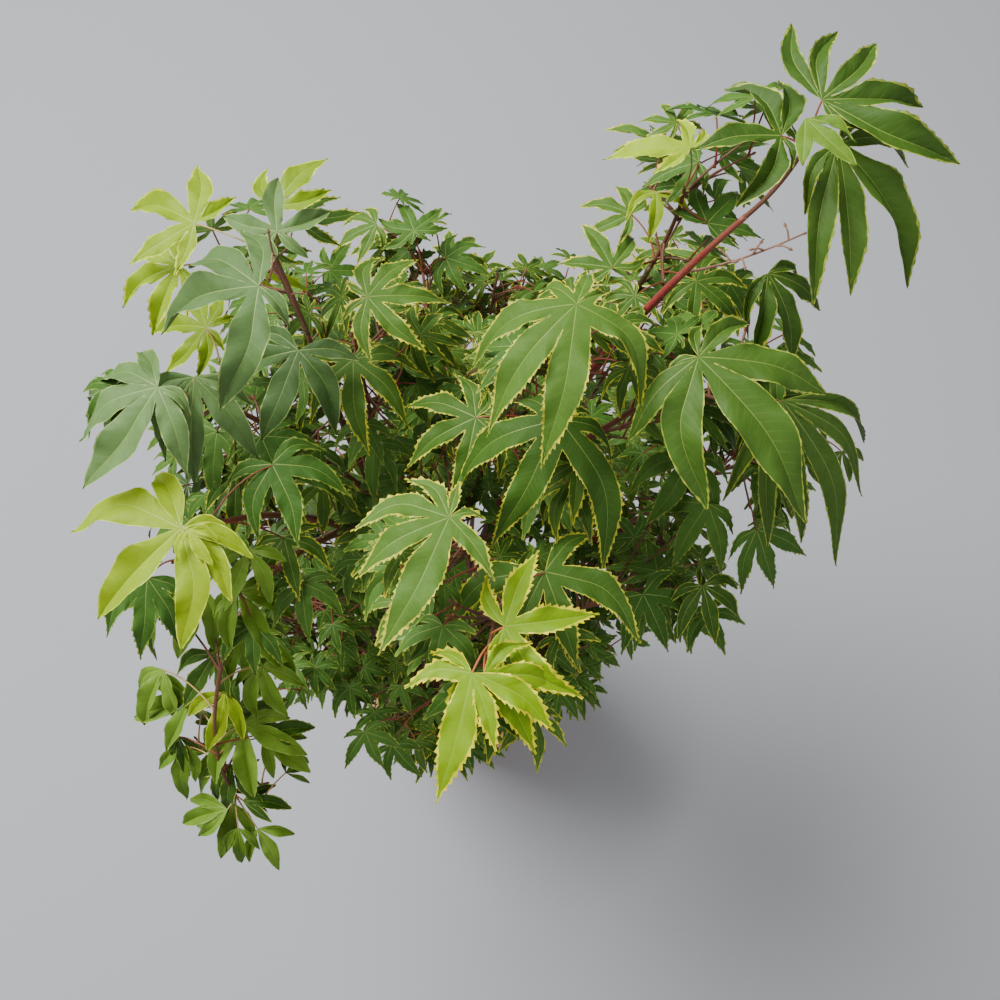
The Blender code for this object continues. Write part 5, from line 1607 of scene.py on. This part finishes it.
class MAPLE_OT_pot(bpy.types.Operator):
    """Turn the clay pot, with its band, rounded lip and drain holes"""

    bl_idname = "maple.pot"
    bl_label = "Clay pot"

    def execute(self, context):
        settings = context.scene.maple_pot
        profile = self.profile()
        mesh = bpy.data.meshes.new("pot_clay")
        mesh.from_pydata([(r, 0, z) for r, z in profile], [(i, i + 1) for i in range(len(profile) - 1)], [])
        obj = new_object("pot_clay", mesh)
        turn = obj.modifiers.new("Turn", "SCREW")
        turn.steps = turn.render_steps = settings.steps
        turn.use_merge_vertices = True
        turn.merge_threshold = SAME_POINT
        baked(obj)
        bm = bmesh.new()
        bm.from_mesh(obj.data)
        bmesh.ops.remove_doubles(bm, verts=bm.verts, dist=SAME_POINT)
        bmesh.ops.recalc_face_normals(bm, faces=bm.faces)
        for vert in bm.verts:
            if vert.co.z > TRUE_HEIGHT and vert.co.xy.length > TRUE_RADIUS:
                vert.co.xy *= 1 + relief_at(vert.co, POT_WOBBLE) / vert.co.xy.length
        bm.to_mesh(obj.data)
        bm.free()
        self.drill(obj)
        obj.data.shade_smooth()
        obj.data.set_sharp_from_angle(angle=math.radians(POT_SHARP))
        obj.data.materials.clear()
        obj.data.materials.append(clay_material(settings))
        finished(obj, "clay", "pot")
        return {"FINISHED"}

    def profile(self):
        """Radius and height of the pot's section, up its inside, over the lip and down its outside."""
        low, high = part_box("pot")
        rim, top = high.x, high.z
        cad = frame["nodes"]["pot"].data
        foot = max(v.co.xy.length for v in cad.vertices if v.co.z < low.z + 1e-4)

        def wall(z):
            return foot + POT_FLARE + (rim - BAND_DEPTH - foot - POT_FLARE) * z / top

        corner = POT_WALL + FLOOR_ROUND
        lip_height = top - LIP_ROUND
        band_foot = top - BAND_HEIGHT
        edge_out, edge_up, edge_round = BAND_EDGE
        points = [(0.0, POT_FLOOR), (wall(POT_FLOOR) - corner, POT_FLOOR)]
        points += arc((wall(FLOOR_TURN) - corner, POT_FLOOR + FLOOR_ROUND), FLOOR_ROUND, -90, -8, 5)
        points += [(wall(z) - POT_WALL, z) for z in INNER_RINGS]
        points += arc((wall(top) - POT_WALL + LIP_ROUND, lip_height), LIP_ROUND, 180, 90, 6)
        points += arc((rim - LIP_ROUND, lip_height), LIP_ROUND, 90, 0, 6)
        points += arc((wall(band_foot) + edge_out, band_foot + edge_up), edge_round, 0, -90, 5)
        points += [(wall(band_foot), band_foot - BAND_SHADOW)]
        points += [(wall(z), z) for z in OUTER_RINGS]
        points += arc((foot - FOOT_INSET, FOOT_ROUND), FOOT_ROUND, 0, -90, 5)
        return points + [(foot - FOOT_WIDTH, 0.0), (0.0, 0.0)]

    def drill(self, obj):
        for i in range(DRAINS):
            angle = math.tau * (i + 0.5) / DRAINS
            place = (DRAIN_RING * math.cos(angle), DRAIN_RING * math.sin(angle), 0)
            bm = bmesh.new()
            bmesh.ops.create_cone(
                bm, cap_ends=True, segments=DRAIN_SIDES, radius1=DRAIN_RADIUS, radius2=DRAIN_RADIUS,
                depth=DRAIN_DEPTH)
            bmesh.ops.translate(bm, verts=bm.verts, vec=place)
            mesh = bpy.data.meshes.new("drain")
            bm.to_mesh(mesh)
            bm.free()
            drain = new_object("drain", mesh)
            cut = obj.modifiers.new("Drain", "BOOLEAN")
            cut.object = drain
            cut.operation = "DIFFERENCE"
            baked(obj)
            bpy.data.objects.remove(drain, do_unlink=True)


class MAPLE_OT_soil(bpy.types.Operator):
    """Fill the pot with crumbly compost"""

    bl_idname = "maple.soil"
    bl_label = "Soil"

    def execute(self, context):
        settings = context.scene.maple_pot
        soil = tuple(settings.soil)
        points, faces = self.bed()
        pile = Pile()
        pile.add(np.array(points), np.array(faces))
        material = mottled_material("soil", soil, scaled(soil, 2.4), SOIL_MOTTLE)
        finished(new_object("soil_bed", pile.mesh("soil_bed"), material), "soil", "soil")
        # Crumbs and chips lie on the top, all but its outermost ring.
        inner = points[:1 + (SOIL_RINGS - 1) * SOIL_SPOKES]
        top = bpy.data.meshes.new("soil_top")
        top.from_pydata(inner, [], [face for face in faces if max(face) < len(inner)])
        crumb = mottled_material("soil_crumb", scaled(soil, 1.1), scaled(soil, 3.0), CRUMB_MOTTLE)
        chip = mottled_material("bark_chip", *CHIP_COLOURS, CHIP_MOTTLE)
        size = {"Density": settings.crumbs, "Size": settings.crumb_size}
        for name, material, values in (
                ("soil_crumbs", crumb, {**size, **CRUMBS}), ("soil_chips", chip, CHIPS)):
            lumps = new_object(name, top.copy())
            finished(run_tree(lumps, scatter_tree(), Material=material, **values), "soil")
        return {"FINISHED"}

    def bed(self):
        """Points and faces of the bed: its middle, rings outwards, the lower rim and the middle below."""
        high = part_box("soil")[1]
        edge = high.x
        rounds = [(math.cos(math.tau * j / SOIL_SPOKES), math.sin(math.tau * j / SOIL_SPOKES))
                  for j in range(SOIL_SPOKES)]
        points = [(0, 0, high.z)]
        for i in range(1, SOIL_RINGS + 1):
            radius = edge * i / SOIL_RINGS
            dish = SOIL_DISH * max(0, (radius - DISH_START) / (edge - DISH_START))
            for x, y in rounds:
                place = Vector((radius * x, radius * y, 0))
                height = high.z - dish - SOIL_SUNK + relief_at(place, SOIL_ROUGH)
                points.append((place.x, place.y, height))
        points += [(edge * x, edge * y, high.z - SOIL_DEPTH) for x, y in rounds]
        points.append((0, 0, high.z - SOIL_DEPTH))
        faces = []
        for j in range(SOIL_SPOKES):
            n = (j + 1) % SOIL_SPOKES
            faces.append((0, 1 + j, 1 + n))
            for i in range(SOIL_RINGS):
                a, b = 1 + i * SOIL_SPOKES, 1 + (i + 1) * SOIL_SPOKES
                faces += [(a + j, b + j, b + n), (a + j, b + n, a + n)]
            last = 1 + SOIL_RINGS * SOIL_SPOKES
            faces.append((last + n, last + j, last + SOIL_SPOKES))
        return points, faces


class MAPLE_OT_limbs(bpy.types.Operator):
    """Grow the trunk and the boughs, with the bark's relief"""

    bl_idname = "maple.limbs"
    bl_label = "Trunk and boughs"

    def execute(self, context):
        settings = context.scene.maple_wood
        pile = Pile()
        for name, (path, radii) in limb_lines(FINER).items():
            self.add_limb(pile, name, path, radii, settings.relief)
        obj = new_object("trunk_and_boughs", pile.mesh("trunk_and_boughs"), bark_material(settings))
        finished(obj, "bark", "trunk", *BOUGHS)
        spots = new_object("lenticels", obj.data.copy())
        spots.data.materials.clear()
        pale = mottled_material("lenticel", *LENTICEL_COLOURS, LENTICEL_MOTTLE)
        finished(run_tree(spots, scatter_tree(), Material=pale, **LENTICELS), "bark")
        return {"FINISHED"}

    def add_limb(self, pile, name, path, radii, relief):
        """Rings along a limb: a collar where it leaves its parent, buttresses at the foot, bark ridges."""
        is_trunk = name == "trunk"
        sides = TRUNK_SIDES if is_trunk else BOUGH_SIDES
        points, ages = [], []
        length = 0.0
        for i, (point, radius, (side, other)) in enumerate(zip(path, radii, ring_frames(path))):
            if i:
                length += (point - path[i - 1]).length
            collar = 1 + (0 if is_trunk else COLLAR * math.exp(-length / COLLAR_LENGTH))
            foot = math.exp(-(point.z - SOIL_LEVEL) / BUTTRESS_HEIGHT) if is_trunk else 0
            depth = relief * min(1.0, radius / FULL_RELIEF) + LEAST_RELIEF
            for j in range(sides):
                turn = math.tau * j / sides
                out = side * math.cos(turn) + other * math.sin(turn)
                grain = Vector((out.x * GRAIN_ROUND, out.y * GRAIN_ROUND, point.z * GRAIN_ALONG))
                bark = relief_at(grain * (radius / GRAIN_RADIUS) ** GRAIN_POWER, BARK_GRAIN)
                buttress = foot * BUTTRESS * math.cos(BUTTRESSES * turn + BUTTRESS_TURN)
                points.append(point + out * radius * collar * (1 + depth * bark + buttress))
                ages.append(min(1.0, max(0.0, (radius - YOUNG_RADIUS) / AGING)))
        points += [path[-1], path[0]]
        ages += [ages[-1], ages[0]]
        last = len(path) - 1
        faces = []
        for i in range(last):
            for j in range(sides):
                n = (j + 1) % sides
                a, b = i * sides, (i + 1) * sides
                faces += [(a + j, a + n, b + n), (a + j, b + n, b + j)]
        for j in range(sides):
            n = (j + 1) % sides
            faces += [(last * sides + j, last * sides + n, len(points) - 2), (n, j, len(points) - 1)]
        tone = 0.0 if name in RED_LIMBS else random.Random(name).uniform(*BROWN_TONES)
        corners = np.full((len(faces), 3, 2), tone)
        pile.add(np.array([tuple(p) for p in points]), np.array(faces), corners=corners, shade=np.array(ages))


class MAPLE_OT_twigs(bpy.types.Operator):
    """Grow the twigs and petioles as stalks along their lines"""

    bl_idname = "maple.twigs"
    bl_label = "Twigs and petioles"

    def execute(self, context):
        settings = context.scene.maple_wood
        twig, dry = tuple(settings.twig), tuple(settings.dry)
        self.add_stalks("twigs", "twig", mottled_material("twig_bark", twig, TWIG_PATCH, TWIG_MOTTLE))
        self.add_stalks("dry_stalks", "dry", mottled_material("dry_stalk", dry, scaled(dry, 0.5), DRY_MOTTLE))
        for kind, petiole in PETIOLES.items():
            material = mottled_material(f"petiole_{kind}", petiole.colour, petiole.other, petiole.mottle)
            self.add_stalks(f"petioles_{kind}", kind, material, petiole.slot)
        return {"FINISHED"}

    def add_stalks(self, name, kind, material, slot="young_bark"):
        """One piece with every stalk of a kind."""
        points, edges, radii = [], [], []
        for stalk in [s for growth in grown().values() for s in growth.stalks if s.kind == kind]:
            edges += [(len(points) + i, len(points) + i + 1) for i in range(len(stalk.path) - 1)]
            points += [tuple(p) for p in stalk.path]
            radii += stalk.radii
        mesh = bpy.data.meshes.new(kind)
        mesh.from_pydata(points, edges, [])
        mesh.attributes.new("radius", "FLOAT", "POINT").data.foreach_set("value", radii)
        sides = bpy.context.scene.maple_wood.twig_sides
        finished(run_tree(new_object(name, mesh), stalks_tree(), Sides=sides, Material=material), slot)


class MAPLE_OT_leaves(bpy.types.Operator):
    """Make the leaves, each tint apart"""

    bl_idname = "maple.leaves"
    bl_label = "Leaves"

    def execute(self, context):
        settings = context.scene.maple_leaves
        for name, tint in TINTS.items():
            materials = self.materials(settings, name, tint)
            for i, pile in enumerate(self.piles(name, settings.thickness)):
                label = f"leaves_{name}_{i + 1}"
                obj = new_object(label, pile.mesh(label), *materials)
                obj.data.set_sharp_from_angle(angle=math.radians(LEAF_SHARP))
                finished(obj, tint.slot)
        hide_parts(*MASSES)
        return {"FINISHED"}

    def materials(self, settings, name, tint):
        """Blade, margin, midrib and underside, in the order of a leaf's slots."""
        blade = tuple(getattr(settings, name))
        vein, under = tuple(settings.vein), tuple(settings.under)
        margin = MARGIN_MOTTLE._replace(roughness=tint.roughness)
        return (
            blade_material(f"leaf_{name}", blade, between(blade, vein, VEIN_PALE), tint.roughness),
            mottled_material(f"margin_{name}", tint.margin, scaled(blade, 1.25), margin),
            principled(f"midrib_{name}", 0.5, between(blade, vein, MIDRIB_PALE))[0],
            mottled_material(
                f"under_{name}", between(blade, under, UNDER_PALER), between(blade, under, UNDER_PALE),
                UNDER_MOTTLE),
        )

    def piles(self, name, thickness):
        """The leaves of a tint, in as many piles as keep under the limit. Leading leaves are finer."""
        piles = [Pile()]
        rng = random.Random(name)
        for growth in grown().values():
            for number, leaf in enumerate(growth.leaves):
                if leaf.tint != name:
                    continue
                detail = FINE if number < len(growth.mass.leaders) else PLAIN
                shape = leaf_shape(leaf, rng, detail, thickness)
                if piles[-1].faces + len(shape[1]) > MOST_TRIANGLES:
                    piles.append(Pile())
                piles[-1].add(*shape, shade=rng.random())
        return piles


class MAPLE_OT_stage(bpy.types.Operator):
    """Set up the floor, the lights and the camera"""

    bl_idname = "maple.stage"
    bl_label = "Stage"

    def execute(self, context):
        settings = context.scene.maple_stage
        scene = context.scene
        mesh = bpy.data.meshes.new("floor")
        corners = [(x * FLOOR_REACH, y * FLOOR_REACH, 0) for x, y in ((-1, -1), (1, -1), (1, 1), (-1, 1))]
        mesh.from_pydata(corners, [], [(0, 1, 2, 3)])
        new_object("floor", mesh, principled("floor", 0.9, tuple(settings.floor))[0])
        scene.world = bpy.data.worlds.new("studio")
        scene.world.use_nodes = True
        sky = scene.world.node_tree.nodes["Background"].inputs
        sky["Color"].default_value = (*SKY_COLOUR, 1)
        sky["Strength"].default_value = settings.sky
        for name, (width, place) in LIGHTS.items():
            data = bpy.data.lights.new(name, "AREA")
            data.energy = getattr(settings, name)
            data.size = width
            light = bpy.data.objects.new(name, data)
            light.location = place
            light.rotation_euler = (LIGHT_AIM - light.location).to_track_quat("-Z", "Y").to_euler()
            scene.collection.objects.link(light)
        lens = bpy.data.cameras.new("camera")
        lens.sensor_width = SENSOR_WIDTH
        lens.lens = settings.focal_pixels * SENSOR_WIDTH / FRAME_PIXELS
        camera = bpy.data.objects.new("camera", lens)
        camera.location = settings.camera
        camera.rotation_euler = (math.radians(90) - settings.elevation, 0, 0)
        scene.collection.objects.link(camera)
        scene.camera = camera
        return {"FINISHED"}


class MAPLE_PT_panel(bpy.types.Panel):
    bl_label = "Potted maple"
    bl_idname = "MAPLE_PT_panel"
    bl_space_type = "VIEW_3D"
    bl_region_type = "UI"
    bl_category = "Maple"

    def draw(self, context):
        for settings in SETTINGS:
            group = getattr(context.scene, settings)
            box = self.layout.box()
            for name in group.__annotations__:
                box.prop(group, name)
        for operator in OPERATORS:
            self.layout.operator(operator.bl_idname)


OPERATORS = (MAPLE_OT_stage, MAPLE_OT_pot, MAPLE_OT_soil, MAPLE_OT_limbs, MAPLE_OT_twigs, MAPLE_OT_leaves)
SETTINGS = {
    "maple_leaves": MapleLeafSettings,
    "maple_wood": MapleWoodSettings,
    "maple_pot": MaplePotSettings,
    "maple_stage": MapleStageSettings,
}


def register():
    for name, group in SETTINGS.items():
        bpy.utils.register_class(group)
        setattr(bpy.types.Scene, name, PointerProperty(type=group))
    for operator in OPERATORS:
        bpy.utils.register_class(operator)
    bpy.utils.register_class(MAPLE_PT_panel)


def unregister():
    bpy.utils.unregister_class(MAPLE_PT_panel)
    for operator in reversed(OPERATORS):
        bpy.utils.unregister_class(operator)
    for name, group in SETTINGS.items():
        delattr(bpy.types.Scene, name)
        bpy.utils.unregister_class(group)


def main():
    register()
    bpy.ops.maple.stage()
    bpy.ops.maple.pot()
    bpy.ops.maple.soil()
    bpy.ops.maple.limbs()
    bpy.ops.maple.twigs()
    bpy.ops.maple.leaves()


if __name__ == "__main__":
    main()
